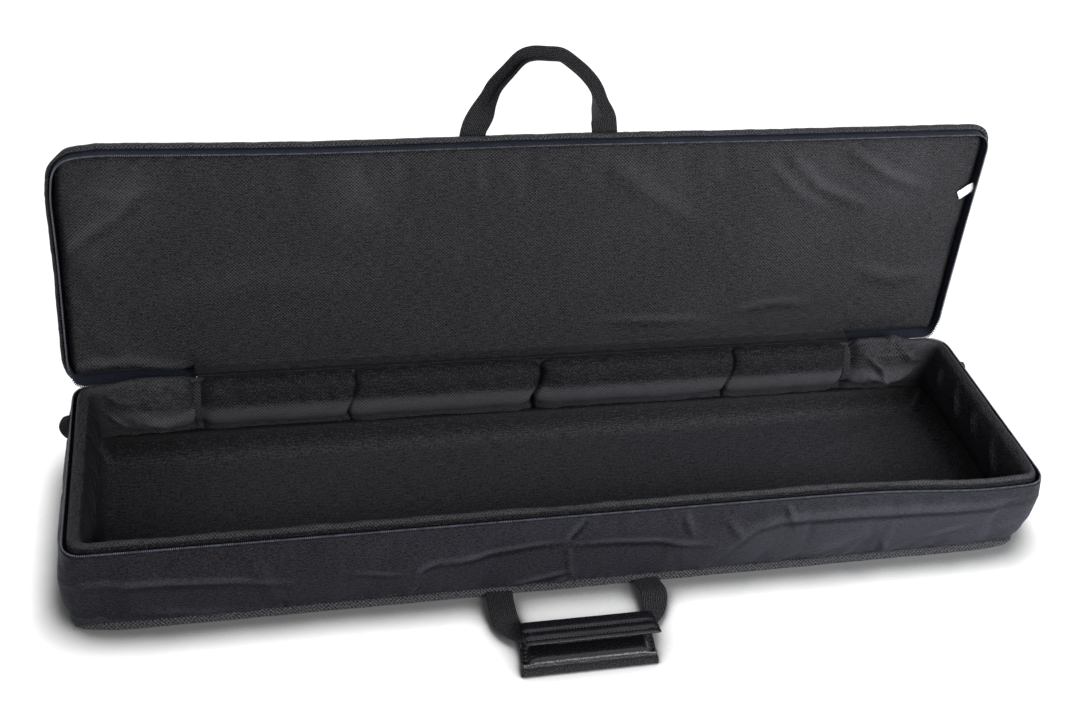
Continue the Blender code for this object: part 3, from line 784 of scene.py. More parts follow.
def make_tray_cloth():
    """The wall's outer cloth: settled by simulation, then creased where the photograph shows folds."""
    at = round_the_wall(FINE)
    height = np.linspace(CLOTH_FOOT, CLOTH_TOP, int(CLOTH_TOP / FINE) + 1)
    distance, heights = np.meshgrid(at, height, indexing="ij")
    base = ring(distance, wall_slump(distance, heights), heights)
    normal = grid_normals(base, (True, False))
    normal[..., 2] = 0
    swell = (finer(settled_wall(), *heights.shape, True) * normal).sum(-1)
    arch = np.sin(np.pi * np.minimum(heights / CLOTH_TOP, 1))
    along = np.where(distance > PERIMETER / 2, distance - PERIMETER, distance)
    away = np.abs(along)
    folds = creases(along, heights, FRONT_FOLDS) + creases(away, heights, SIDE_FOLDS)
    ends = window(away, FRONT_CORNER, REAR_CORNER, 0.05) * np.where(along > 0, END_SWELL[1], END_SWELL[-1])
    sag = 0.0030 * wander(base * (1, 1, 1.6), 0.10, 7, 2) + 0.0022 * wander(base * (1, 1, 0.35), 0.045, 17, 2)
    low_edge = pucker(at, 0.0046, 11)[:, None] * bump(heights, 0.013, 0.013)
    low_edge = low_edge - 0.0018 * bump(heights, 0.0130, 0.0035)
    high_edge = pucker(at, 0.0026, 13, 0.016)[:, None] * bump(heights, CLOTH_TOP - 0.014, 0.013)
    padded = (0.0030 + ends) * arch ** 0.8 + sag + np.clip(swell, -0.0012, 0.0065) + folds
    push = np.clip(arch ** 0.6 * padded + low_edge + high_edge, PUSH_IN, PUSH_OUT)
    limit = PUSH_OUT - HANDLE_HOLD * window(along, HANDLE_FROM, HANDLE_TO, 0.020)
    push = np.minimum(push, limit * np.tanh(np.maximum(push, 0) / limit))
    hinge_zone = smoothstep(away, REAR_START - 0.022, REAR_START + 0.002) * smoothstep(heights, 0.080, 0.112)
    push = push * (1 - hinge_zone) - 0.0006 * hinge_zone
    # Painted light and shade by the slopes of the folds and swells, with a tone that differs at random.
    slope = np.gradient(folds + 0.6 * sag, height, axis=1)
    tone_and_painted_light = painted_wall_light(along, heights, slope) + 0.25 * wander(base, 0.06, 19, 2)
    points = tray_slump(base + normal * push[..., None])
    made = surface("tray_cloth", points, spans(len(at)), height[None, :], (True, False), tone_and_painted_light=tone_and_painted_light)
    thicken(made, CLOTH * 0.7)
    dress(made, OUTER, "tray", ("gusset_fabric", "spine_panel"))


def make_bottom_cloth():
    x, y = panel_places(0.0006, 0.012)
    lift = 0.35 * wander(xyz(x, y), 0.12, 31, 2) + smoothstep(-panel_edge(x, y), -0.02, 0)
    made = surface("bottom_cloth", xyz(x, y, 0.0013 + 0.0010 * np.clip(lift, 0, 1)), x, y)
    thicken(made, 0.0009)
    dress(made, OUTER, "tray", ("bottom_panel",))


# The tray's padding

# Sections of the wall's padding, from its foot outside, over the rim and down inside: inset and height
FRONT_SECTION = (
    (1.6, 2), (1.6, 60), (1.6, 116), (7.4, 117.5), (8.6, 132), (10.8, 139.4), (15.4, 142.6), (20, 140.8),
    (23.5, 134.5), (25.8, 124), (27, 108), (27, 92), (25.5, 76), (21, 62), (19, 44), (18.5, 24), (18.5, 6),
)
SIDE_SECTION = (
    (1.6, 2), (1.6, 60), (1.6, 116), (6.8, 117.5), (7.4, 133), (9.2, 140.0), (13.2, 143.0), (19, 142.0),
    (26, 137), (32.5, 124), (36, 109), (36.5, 94), (32, 80), (23, 69), (18.5, 50), (18, 26), (18, 6),
)
ROLL_SECTION = (
    (1.6, 2), (1.6, 60), (1.6, 112), (1.6, 128), (1.9, 137.6), (3.8, 142.4), (9.0, 144.2), (17.0, 142.0),
    (26.5, 134), (33.5, 119), (37.0, 102), (36.6, 86), (30, 73), (19.5, 65), (17.5, 46), (17.5, 24),
    (17.5, 6),
)
# Creases across the rear roll: place along the bag, width and depth
ROLL_CREASES = ((-289, 2.4, 5.6), (-2, 3.4, 11.0), (313, 2.4, 6.0))
# Folds of the rear corners' padding: routes in place along the bag and height
CORNER_FOLDS = (
    ([(535, 136), (572, 112), (590, 80)], 6.0, 9.35, 0.9),
    ([(590, 142), (622, 118), (655, 108)], 6.5, 10.2, -0.9),
    ([(550, 92), (600, 86), (645, 100)], 7.0, 8.5, 0.8),
    ([(560, 128), (610, 128), (650, 134)], 5.0, 6.8, 0.8),
    ([(-668, 120), (-640, 104), (-622, 84)], 5.5, 7.65, 0.9),
    ([(-655, 138), (-628, 122), (-606, 118)], 5.5, 6.8, -0.9),
    ([(-600, 92), (-560, 86), (-530, 96)], 7.0, 5.1, 0.7),
)
# Folds of the end pads: routes in place across the bag and height
END_FOLDS = (
    ([(60, 130), (30, 105), (20, 80)], 5.0, 5.88, 0.9),
    ([(0, 128), (-30, 100)], 4.5, 5.04, 0.9),
    ([(-60, 132), (-100, 104), (-120, 80)], 5.0, 4.76, -0.9),
    ([(110, 126), (90, 100)], 4.5, 4.76, 0.9),
)
# Folds of the floor's lining: routes in the bag's plan
FLOOR_FOLDS = (
    ([(490, 75), (530, 94), (580, 100)], 6, 2.2, 0.6),
    ([(440, 60), (480, 72)], 6, 1.4, 0.6),
    ([(-300, 30), (-180, 34), (-50, 20)], 10, 1.0, 0.6),
)
FLOOR_INSET, FLOOR_CURVE, FLOOR_RISE = 0.0170, 0.036, 0.042


def padding_points(distance, count):
    """Points of the padding's skin, round its section at each place along the wall."""
    away = from_front(distance)
    roll = smoothstep(away, REAR_START - 0.02, REAR_START + 0.085)
    side = window(away, FRONT_CORNER, REAR_CORNER, 0.05) * (1 - roll)
    sections = metres([FRONT_SECTION, SIDE_SECTION, ROLL_SECTION])
    controls = np.tensordot(xyz(1 - side - roll, side, roll), sections, 1)
    skin = np.einsum("pc,rcd->rpd", smooth_closed(count, sections.shape[1]), controls)
    return ring(distance[:, None], skin[..., 0], skin[..., 1])


def padding_places():
    """Places along the wall, closer together at the roll's creases and at the crumpled rear corners."""
    even = round_the_wall(STEP)
    near = np.arange(-0.008, 0.0081, 0.0012)
    crumpled = np.arange(ZIP_END + 0.012, HALF_LENGTH - CORNER_RADIUS, 0.0022)
    x = np.concatenate([*(place + near for place, _, _ in metres(ROLL_CREASES)), crumpled, -crumpled])
    extra = PERIMETER / 2 - x
    apart = np.abs(extra[:, None] - even[None, :]).min(1)
    return np.sort(np.concatenate([even, extra[apart > 0.0005]]))


def make_wall_padding():
    """The padded wall in its lining: its rim, the rolls inside it and their creases."""
    at = padding_places()
    columns = 132
    points = padding_points(at, columns)
    normal = grid_normals(points, (True, True))
    x, y, z = np.moveaxis(points, -1, 0)
    away = from_front(at)[:, None]
    # Round the section, share is where the skin is, counted in its stations: the rim is near the sixth
    share = np.arange(columns) / columns
    station = 1 / len(FRONT_SECTION)
    inside, rim = window(share, 0.30, 0.90, 0.03), bump(share, 6.4 * station, 0.06)
    rear = smoothstep(away, REAR_START - 0.01, REAR_START + 0.05)
    side = window(away, FRONT_CORNER, REAR_CORNER, 0.04)
    past = smoothstep(np.abs(x), ZIP_END, ZIP_END + 0.03) * rear

    # Shape: lumps everywhere, dents across the roll, folds at the rear corners and the ends
    lumps = 0.0026 * wander(points, 0.080, 41, 2) + 0.0011 * wander(points, 0.022, 43, 2)
    lumps = lumps + rim * 0.0013 * wander(points, 0.013, 53, 2)
    dents = 0
    for place, width, depth in metres(ROLL_CREASES):
        bent = place + 0.006 * np.sin(z * 60)
        dents = dents + rear * depth * (bump(x, bent, width) + 0.4 * bump(x, bent, 5 * width))
    crumpled = rear * smoothstep(np.abs(x), ZIP_END + 0.004, ZIP_END + 0.03)
    crumple = 0.0030 * wander(points * (1.0, 1.6, 1.3), 0.022, 47, 3)
    folds = crumpled * (creases(x, z, CORNER_FOLDS) + crumple) + side * creases(y, z, END_FOLDS)
    seam = 0.0105 * bump(np.abs(x), ZIP_END, 0.011) * rear
    push = inside * (lumps - dents + folds - seam)
    points = points + normal * push[..., None]
    points[..., 2] += 0.0040 * past * smoothstep(points[..., 2], 0.110, 0.140)

    # Painted light and shade: highlights on the rolls' crowns, the front rim, the rim past the zip's ends and
    # fold ridges; shade painted behind the zip, on the roll's top, at the ends, in folds and in dents
    face = window(share, 0.46, 0.86, 0.03)
    crown = 3.4 * rear * window(z, 0.078, 0.104, 0.008) * face
    front_rim = (1.6 + 1.6 * smoothstep(x, -0.2, 0.5)) * rim * (1 - rear) * (1 - side)
    recess = (1 - past * 0.5) * window(share, 2.6 * station, 5.0 * station, 0.008)
    zipped = 1 - smoothstep(away, WRAP_END - 0.01, WRAP_END + 0.01)
    top = rear * (1 - past) * window(share, 0.33, 0.56, 0.04)
    ends = (1.4 + 1.8 * (x < 0)) * side * face
    tone_and_painted_light = 0.9 * (crown + front_rim + 1.8 * rim * past) - 1.3 * (recess * zipped + top) - ends
    tone_and_painted_light = tone_and_painted_light + 100 * folds * inside - 70 * dents * (1 - past)

    points = tray_slump(points)
    points[..., 2] = np.maximum(points[..., 2], 0.0006)
    around = run_round(points[np.searchsorted(at, PERIMETER / 4)])
    distance = np.append(at, PERIMETER)[:, None]
    made = surface("wall_padding", points, distance, around[None, :], (True, True), tone_and_painted_light=tone_and_painted_light)
    dress(made, LINED, "tray", ("gusset_foam", "gusset_lining", "spine_foam", "spine_lining"))


def make_floor_pad():
    """The padded floor, whose lining rises in a hollow curve to the foot of the walls' rolls."""
    x, y = panel_places(FLOOR_INSET, 0.0065)
    soft = smoothstep(panel_edge(x, y, FLOOR_INSET), 0, FLOOR_CURVE)
    height = FLOOR_TOP + soft * (0.0016 * wander(xyz(x, 2 * y), 0.16, 61, 2) + creases(x, y, FLOOR_FOLDS))
    height += FLOOR_RISE * (1 - soft) ** 2
    # Painted light and shade: a lift over the whole floor, painted shade towards the left end and up the
    # curve to the walls, and a painted highlight right of the middle.
    tone_and_painted_light = 0.45 - 0.6 * (1 - smoothstep(x, -0.66, -0.42)) + 0.3 * bump(x, 0.42, 0.12) * bump(y, -0.03, 0.08)
    risen = height - FLOOR_TOP
    along, across = 0.8 * (x + np.sign(x) * risen), 0.8 * (y + np.sign(y) * risen)
    made = surface("floor_pad", xyz(x, y, height), along, across, tone_and_painted_light=tone_and_painted_light - 2.6 * (1 - soft))
    thicken(made, 0.0055)
    dress(made, FLOOR_LINED, "tray", ("bottom_foam", "bottom_lining"))


# Bindings and zip

# Closed sections of the bindings: inset and height, from the floor and from the lid's top face
BOTTOM_BINDING = (
    (-5.98, 4.6), (-5.2, 8.625), (-2.6, 11.9), (0.4, 12.3), (1.6, 6.0), (0.6, 0.3), (-2.34, 0.3),
    (-4.42, 1.2),
)
LID_BINDING = (
    (-0.4, -9.7), (-0.2, -3.0), (0.4, 0.1), (4.0, 0.4), (4.4, 1.6), (1.0, 2.4), (-4.16, 2.0), (-5.72, -3.5),
    (-5.72, -6.5), (-3.9, -9.9),
)
TOOTH_PITCH, TOOTH_WIDTH, TOOTH_HEIGHT = 0.0024, 0.0024, 0.0027
LID_TAPE_LEAN = 0.0022
LID_TAPE_INSET = ZIP_INSET - 0.0008


def make_binding(name, section, rise, body, replaced, seed, lean=0.0):
    """Ribbed tape round an edge. It leans in at the corners."""
    at = round_the_wall(0.0030)
    section = smooth_closed(3 * len(section), len(section)) @ metres(section)
    place = ring(at)
    wobble = 0.0008 * wander(place, 0.05, seed, 2) + pucker(at, 0.0012, seed + 1)
    tall = 0.0008 * wander(place, 0.030, seed + 2, 3)
    inset = section[:, 0] + (wobble + lean * near_corners(at, 0.040))[:, None]
    points = ring(at[:, None], inset, np.maximum(rise + section[:, 1] + tall[:, None], 0.0002))
    around = run_round(points[0])
    if body == "lid":
        points = open_up(lid_slump(points))
    made = surface(name, points, spans(len(at)), around[None, :], (True, True))
    dress(made, BINDING, body, replaced)


def make_bindings():
    make_binding("bottom_binding_tape", BOTTOM_BINDING, 0.0, "tray", ("bottom_binding",), 71, lean=0.0060)
    make_binding("lid_binding_tape", LID_BINDING, LID_TOP, "lid", ("lid_binding",), 81)


def make_zip_tape(name, inset, lean, low, high, body, replaced, seed):
    """A zip's tape. Its low edge stands in from its high one by a lean."""
    at = np.linspace(-WRAP_END, WRAP_END, int(2 * WRAP_END / STEP))[:, None]
    height = np.linspace(low, high, 8)[None, :]
    slanted = inset + lean * (high - height) / (high - low)
    wave = 0.0006 * wander(ring(at, slanted, height), 0.06, seed, 2)
    points = ring(at, slanted + wave, height)
    points = open_up(lid_slump(points)) if body == "lid" else tray_slump(points)
    made = surface(name, points, at, height)
    thicken(made, 0.0008, 0)
    dress(made, TAPE, body, replaced)


def many(name, template, faces, places, ways, ups):
    """Copies of a small closed shape, each set on its own place and axes, as one mesh."""
    axes = np.stack([ways, np.cross(ups, ways), ups], 1)
    points = np.einsum("vk,nkd->nvd", template, axes) + places[:, None, :]
    first = len(template) * np.arange(len(places))[:, None]
    listed = [row for face in faces for row in (np.array(face) + first).tolist()]
    return add_mesh(name, points, listed, "POINT", points)


def bead(length, width, height, rings=5, sides=6):
    """A rounded bar along X: its points and faces."""
    points, faces = [], []
    for i in range(rings):
        turn = math.pi * (i + 0.5) / rings
        x, r = -length / 2 * math.cos(turn), max(math.sin(turn), 0.35) ** 0.5
        for j in range(sides):
            a = 2 * math.pi * j / sides
            points.append((x, width / 2 * r * math.cos(a), height / 2 * r * math.sin(a)))
    for i in range(0, (rings - 1) * sides, sides):
        for j in range(sides):
            k = (j + 1) % sides
            faces.append((i + sides + j, i + sides + k, i + k, i + j))
    faces.append(tuple(range(sides)))
    faces.append(tuple(range(rings * sides - 1, (rings - 1) * sides - 1, -1)))
    return np.array(points), faces


def make_teeth(name, middle, height, body, replaced):
    """A row of zip teeth: rounded bars that stand across the tape, a pitch apart."""
    slump = lid_slump if body == "lid" else tray_slump
    at = np.arange(-WRAP_END + TOOTH_PITCH, WRAP_END, TOOTH_PITCH)
    half = TOOTH_PITCH / 2
    places = slump(ring(at, middle, height))
    ways = unit(slump(ring(at + half, middle, height)) - slump(ring(at - half, middle, height)))
    ups = np.broadcast_to([0.0, 0.0, 1.0], ways.shape)
    if body == "lid":
        places, ways, ups = open_up(places), turn_open(ways), turn_open(ups)
    bar, faces = bead(TOOTH_HEIGHT, TOOTH_WIDTH, TOOTH_WIDTH)
    stood = bar[:, [2, 1, 0]] * (0.85, 1.15, 1)
    made = many(name, stood, [face[::-1] for face in faces], places, ways, ups)
    dress(made, COIL, body, replaced)


def make_zip():
    tray_low, tray_high = WALL_HEIGHT - 0.0205, WALL_HEIGHT - 0.0047
    make_zip_tape("tray_zip_tape", ZIP_INSET, 0.0, tray_low, tray_high, "tray", ("tray_zipper_tape",),
                  91)
    make_teeth("tray_zip_teeth", ZIP_INSET, WALL_HEIGHT - 0.00325, "tray", ("tray_zipper_coil",))
    lid_low, lid_high = WALL_HEIGHT + 0.0031, LID_TOP - 0.0015
    make_zip_tape("lid_zip_tape", LID_TAPE_INSET, LID_TAPE_LEAN, lid_low, lid_high, "lid",
                  ("lid_zipper_tape",), 93)
    make_teeth("lid_zip_teeth", LID_TAPE_INSET + LID_TAPE_LEAN, WALL_HEIGHT + 0.00155, "lid",
               ("lid_zipper_coil",))


# The lid

# Folds of the lid's lining: routes in place along the bag and height above the hinge
LID_FOLDS = (
    ([(-574, 321), (-581, 276), (-609, 255)], 9, 5.46, 0.8),
    ([(-680, 203), (-644, 236), (-600, 262)], 10, 5.2, 0.8),
    ([(-630, 300), (-600, 286), (-560, 300)], 10, 3.9, 0.6),
    ([(-294, 325), (-258, 242)], 18, 3.64, 0.6),
    ([(80, 335), (150, 280), (246, 216)], 16, 4.16, 0.6),
    ([(379, 325), (430, 275), (505, 241)], 10, 5.72, 0.9),
    ([(470, 335), (540, 290), (600, 268)], 9, 4.94, 0.9),
    ([(340, 320), (400, 262), (450, 236)], 9, 3.9, 0.9),
    ([(103, 56), (190, 50), (269, 47)], 8, 3.38, 0.8),
    ([(320, 60), (380, 72), (440, 70)], 8, 3.38, 0.8),
    ([(520, 130), (580, 110), (640, 115)], 12, 3.38, 0.7),
    ([(-560, 120), (-420, 150), (-250, 140)], 26, 2.86, 0.4),
    ([(-672, 22), (-600, 26), (-530, 14)], 8, 5.98, -0.9),
)
# Patches where glints are painted on its crosshatch: place along the bag, height above the hinge, size and
# strength
LID_GLINTS = (
    (-600, 290, 45, 0.9), (-650, 215, 35, 0.5), (-280, 285, 50, 0.7), (180, 270, 60, 0.4),
    (420, 290, 50, 0.8), (560, 285, 55, 0.9), (400, 180, 80, 0.3), (250, 62, 50, 0.4), (-610, 20, 50, 0.6),
)
# Folds of its outer cloth: routes in the bag's plan
BACK_FOLDS = (
    ([(-600, -20), (-350, 20), (-50, -10), (200, 15), (500, -20)], 10, 3.0, 0.6),
    ([(-450, -120), (-400, -50), (-420, 40)], 12, 2.6, 0.6),
    ([(300, 130), (340, 50), (310, -40)], 12, 2.8, -0.6),
    ([(-660, 120), (-580, 80), (-500, 90)], 10, 2.6, 0.6),
    ([(550, -130), (610, -80), (660, -90)], 10, 2.6, 0.6),
)
LID_PAD_INSET = 0.0048
# Heights of the closed lid's lining: at its edge, how much lower at least inside it, and its lowest
LID_PAD_EDGE, LID_PAD_CROWN, LID_PAD_LOW = 0.1590, 0.0058, 0.1472
# The care label: its size, its tilt, and where its middle is from the middle of its solid's front
LABEL_SIZE = (0.029, 0.015)
LABEL_TILT = math.radians(27)
LABEL_SHIFT = (0.0050, -0.0010, 0.0020)
LABEL_STANDS_OFF, LABEL_LIFT = 0.0015, 0.0035


def lid_hang(shape):
    """How far the lid's padding hangs out of its frame, by simulation."""
    x, y = panel_places(LID_PAD_INSET, 0.0085)
    held = np.zeros(x.shape)
    held[0] = held[-1] = held[:, 0] = held[:, -1] = 1
    rest = xyz(x, y, 0.154 - 0.002 * (1 - held))
    settled = settle(rest, held, 0.012, 2.0, gravity=(0, 3.0, -1.0))
    return np.clip(finer((rest - settled)[..., 2], *shape), -0.001, 0.006)


def make_lid_padding():
    """The padded inside of the lid: crowned, drawn in at its zip, flat towards the hinge, and creased."""
    x, y = panel_places(LID_PAD_INSET, STEP)
    up = HINGE.y - y
    hinged = smoothstep(-np.abs(x), -ZIP_END - 0.004, -ZIP_END + 0.012)
    rear = HALF_DEPTH - LID_PAD_INSET - y + 0.05 * hinged
    front = HALF_DEPTH - LID_PAD_INSET + y
    edge = np.minimum(np.minimum(HALF_LENGTH - LID_PAD_INSET - np.abs(x), front), rear)
    folds = creases(x, up, LID_FOLDS)
    swell = 0.0022 * wander(xyz(x, 1.5 * y), 0.20, 101, 2) + folds + lid_hang(x.shape)
    flare = 0.0045 * smoothstep(y, 0.135, 0.172) * smoothstep(-np.abs(x), -ZIP_END, -ZIP_END + 0.02)
    height = LID_PAD_EDGE - smoothstep(edge, -0.001, 0.010) * (LID_PAD_CROWN + swell + flare)
    # Painted light and shade: highlights on the folds, by their slopes and in glint patches, and painted
    # shade near the lining's edge.
    tone_and_painted_light = 60 * folds - 1.2 * (1 - smoothstep(edge, 0.004, 0.012))
    tone_and_painted_light = tone_and_painted_light + 2.6 * np.clip(np.gradient(folds, y[0], axis=1), -0.6, 0.6)
    for *spot, level in LID_GLINTS:
        place, high, size = metres(spot)
        tone_and_painted_light = tone_and_painted_light + level * bump(x, place, size) * bump(up, high, size)
    points = open_up(lid_slump(xyz(x, y, np.maximum(height, LID_PAD_LOW))))
    made = surface("lid_padding", points[::-1], x[::-1], y[::-1], tone_and_painted_light=tone_and_painted_light[::-1])
    thicken(made, 0.0040)
    dress(made, LINED, "lid", ("lid_foam", "lid_lining"))


def make_lid_cloth():
    """The lid's outer cloth, a little crowned over the padding."""
    inset = 0.0010
    x, y = panel_places(inset, 0.0060)
    waves = 0.0026 * wander(xyz(x, 1.4 * y), 0.15, 111, 3)
    rise = smoothstep(panel_edge(x, y, inset), 0.003, 0.05)
    height = LID_TOP - 0.0005 + rise * (0.0040 + waves + creases(x, y, BACK_FOLDS))
    made = surface("lid_cloth", open_up(lid_slump(xyz(x, y, height))), x, y)
    thicken(made, CLOTH)
    dress(made, OUTER, "lid", ("lid_panel",))


def make_care_label():
    """A blank white tab, tilted, with its free end standing a little off the lining."""
    low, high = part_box("care_label")
    lean = OPEN_ANGLE - math.pi / 2
    tall = np.array([0, math.sin(lean), math.cos(lean)])
    out = np.array([0, -tall[2], tall[1]])
    middle = np.array([(low.x + high.x) / 2, low.y, (low.z + high.z) / 2]) + LABEL_SHIFT
    wide = math.cos(LABEL_TILT) * np.array([1, 0, 0]) + math.sin(LABEL_TILT) * tall
    half_u, half_v = LABEL_SIZE[0] / 2, LABEL_SIZE[1] / 2
    u, v = np.meshgrid(np.linspace(-half_u, half_u, 15), np.linspace(-half_v, half_v, 9), indexing="ij")
    lift = LABEL_STANDS_OFF + LABEL_LIFT * smoothstep(-u, -0.008, 0.014) + 0.0005 * np.sin(v * 500)
    points = middle + u[..., None] * wide + v[..., None] * np.cross(wide, out) + lift[..., None] * out
    made = surface("care_label_cloth", points[:, ::-1], u, v[:, ::-1])
    thicken(made, 0.0005, 0)
    dress(made, LABEL, "lid", ("care_label",))


# Cloth over the hinge

# Places along the hinge, and the shade line painted along the fold of its lining: place across it and width
HINGE_PLACES = np.linspace(-ZIP_END + 0.001, ZIP_END - 0.001, 230)[:, None]
FOLD_SHADE_LINE = (0.003, 0.0022)
# How far the lining is tucked back and down beside the zip's ends
TUCK_BACK, TUCK_DOWN = 0.0050, 0.0055


def hinge_wave(points, size, seed):
    """A slight wave that dies out at both edges of a cloth over the hinge."""
    return wander(points, size, seed, 2) * np.sin(np.linspace(0, np.pi, points.shape[1]))


def make_hinge_cloth():
    """Outer cloth that crosses the rear fold."""
    x = HINGE_PLACES
    low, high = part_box("hinge_strip")
    route = smooth_open(
        [(HALF_DEPTH + 0.0012, low.z + 0.001), (HALF_DEPTH + 0.0022, 0.128), (HALF_DEPTH + 0.0042, 0.1375),
         (HALF_DEPTH + 0.0100, 0.1408), (high.y - 0.001, 0.1402)], 12)
    across = run_lengths(route)
    points = xyz(x, route[:, 0], route[:, 1])
    points[..., 1] += 0.0009 * hinge_wave(points, 0.05, 121)
    made = surface("hinge_cloth", points[::-1], x[::-1], across[None, :])
    thicken(made, 0.0010, 0)
    dress(made, OUTER, None, ("hinge_strip",))
    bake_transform(made)


def make_hinge_lining():
    """The lining over the same fold. Its ends are tucked in beside the zip."""
    x = HINGE_PLACES
    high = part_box("hinge_lining")[1]
    route = smooth_open(
        [(HALF_DEPTH - 0.0050, 0.1440), (HALF_DEPTH + 0.0010, 0.1462), (HALF_DEPTH + 0.0070, 0.1474),
         (HALF_DEPTH + 0.0130, 0.1490), (HALF_DEPTH + 0.0175, 0.1530), (high.y - 0.0005, 0.1590)], 18)
    across = run_lengths(route)
    points = xyz(x, route[:, 0], route[:, 1])
    points[..., 2] += 0.0006 * hinge_wave(points, 0.06, 131)
    points[..., 0] *= 1 + 0.004 / ZIP_END
    tucked = smoothstep(np.abs(x), ZIP_END - 0.040, ZIP_END - 0.006) * np.linspace(0, 1, len(route))
    points[..., 1] += TUCK_BACK * tucked
    points[..., 2] -= TUCK_DOWN * tucked
    # Painted shade: the whole lining a little darker, and a dark line painted along its fold.
    fold = -0.5 - 1.8 * bump(across, *FOLD_SHADE_LINE)
    made = surface("hinge_lining_cloth", points, x, across[None, :], tone_and_painted_light=fold[None, :])
    thicken(made, 0.0009, 0)
    dress(made, LINED, None, ("hinge_lining",))
    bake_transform(made)


# Seams, tabs and webbing

RIBS, RIB_STEPS, RIB_HEIGHT = 15, 6, 0.00022
SEAM_WIDTH = 0.0135
# Stations of the lid's handle: place along the bag from its middle, height above the lid's edge, and the
# share of the webbing's width that its folded halves show
LID_HANDLE = (
    (-101.0, -14.0, 1.00), (-97.5, 6.0, 1.00), (-89.0, 26.5, 0.90), (-81.0, 48.0, 0.58), (-72.0, 67.5, 0.46),
    (-53.0, 89.5, 0.40), (-36.0, 108.0, 0.38), (-20.0, 114.0, 0.38), (0.0, 113.5, 0.38), (22.0, 111.0, 0.38),
    (42.0, 98.0, 0.38), (62.0, 81.0, 0.42), (77.5, 61.5, 0.52), (84.0, 36.5, 0.80), (91.5, 15.0, 1.00),
    (96.5, -14.0, 1.00),
)
# The base's handle: place along the bag from its middle, to the front, up, and share of the width
BASE_HANDLE = (
    (-106.0, 0.0, 0.0, 1.00), (-107.5, 16.0, 1.5, 1.00), (-108.5, 38.0, 3.5, 1.00), (-107.5, 58.0, 3.0, 1.00),
    (-99.0, 74.0, 1.5, 0.88), (-83.0, 84.0, 0.0, 0.68), (-60.0, 93.0, 0.0, 0.60), (0.0, 97.5, 0.0, 0.62),
    (60.0, 93.0, 0.0, 0.62), (85.0, 80.0, 0.0, 0.70), (101.0, 62.0, -0.5, 0.84), (108.0, 44.0, 2.5, 0.96),
    (110.0, 30.0, 5.5, 1.00), (108.5, 15.0, 3.0, 1.00), (106.0, 0.0, 0.0, 1.00),
)


def make_rear_seams():
    """Ribbed tapes that bind the padding's seams where the zip ends."""
    across = np.linspace(-SEAM_WIDTH / 2, SEAM_WIDTH / 2, 9)
    arch = 0.0022 * np.sqrt(np.clip(1 - (2 * across / SEAM_WIDTH) ** 2, 0, 1))
    for side, name in SIDES:
        skin = padding_points(side * WRAP_END + across, 96)[:, 36:82]
        seat = -0.0090 + arch[:, None] + 0.0008 * wander(skin, 0.012, 141 + side, 2)
        points = skin + grid_normals(skin) * seat[..., None]
        down = run_lengths(points[4])
        made = surface(f"rear_seam_tape_{name}", points, down[None, :], across[:, None])
        thicken(made, 0.0014)
        dress(made, SEAM_BINDING, "tray", (f"rear_seam_binding_{name}",))


def strap(name, route, normal, widths, folds, thickness, body, replaced):
    """Webbing along a route: ribbed on both faces, and folded over its middle where folds says so.

    folds is the angle between its halves at each point: 0 is flat, and half a turn is folded shut.
    """
    ways = unit(np.gradient(route, axis=0))
    sides = unit(np.cross(ways, normal))
    ups = np.cross(sides, ways)
    share = np.linspace(-1, 1, RIBS * RIB_STEPS + 1)
    bend = folds[:, None] * smoothstep(share, -0.10, 0.10)
    step = (share[1] - share[0]) * widths[:, None] / 2
    a = np.cumsum(step * np.cos(bend), 1)
    b = np.cumsum(step * np.sin(bend), 1)
    a -= (a.max(1, keepdims=True) + a.min(1, keepdims=True)) / 2
    b -= b.mean(1, keepdims=True)
    edge = np.sqrt(np.clip(1 - np.abs(share) ** 14, 0, 1))
    half = (thickness / 2 + RIB_HEIGHT * np.cos(share * np.pi * RIBS)) * edge
    points = route[:, None, :]
    for middle, lean, axis in ((a, -np.sin(bend), sides), (b, np.cos(bend), ups)):
        loop = np.hstack([middle + lean * half, (middle - lean * half)[:, -2:0:-1]])
        points = points + loop[..., None] * axis[:, None, :]
    across = np.concatenate([share, share[-2:0:-1], share[:1]]) * WEBBING / 2
    made = surface(name, points, run_lengths(route)[:, None], across[None, :], (False, True), caps=True)
    dress(made, WEBBED, body, replaced)


def make_lid_handle():
    foot = OPENED.inverted() @ LID_HANDLE_AXIS
    line = smooth_open(np.array(LID_HANDLE) / (1000, 1000, 1), 96)
    folds = np.arccos(np.clip(2 * line[:, 2] - 1, -0.97, 1))
    route = xyz(foot.x + line[:, 0], foot.y - line[:, 1], foot.z + 0.0012 * np.sin(folds))
    widths = np.full(len(line), WEBBING)
    normal = turn_open(np.array([0.0, 0.0, -1.0]))
    strap("lid_handle_strap", open_up(route), normal, widths, folds, 0.0016, "lid_handle",
          ("lid_handle_webbing",))


def make_base_handle():
    foot = BASE_HANDLE_AXIS
    line = smooth_open(np.array(BASE_HANDLE) / (1000, 1000, 1000, 1), 120)
    route = xyz(foot.x + line[:, 0], foot.y - line[:, 1], foot.z + line[:, 2])
    strap("base_handle_strap", route, (0.0, 0.0, 1.0), WEBBING * line[:, 3], np.zeros(len(line)), 0.0020,
          "base_handle", ("base_handle_webbing",))


# A side tab's loop: where it is thickest, its half thickness there and at the wall, and its place
TAB_BELLY, TAB_HALF, TAB_FOOT_HALF = 0.009, 0.0017, 0.0012
TAB_UP, TAB_BACK, TAB_DROOP = 0.017, 0.008, 0.0025


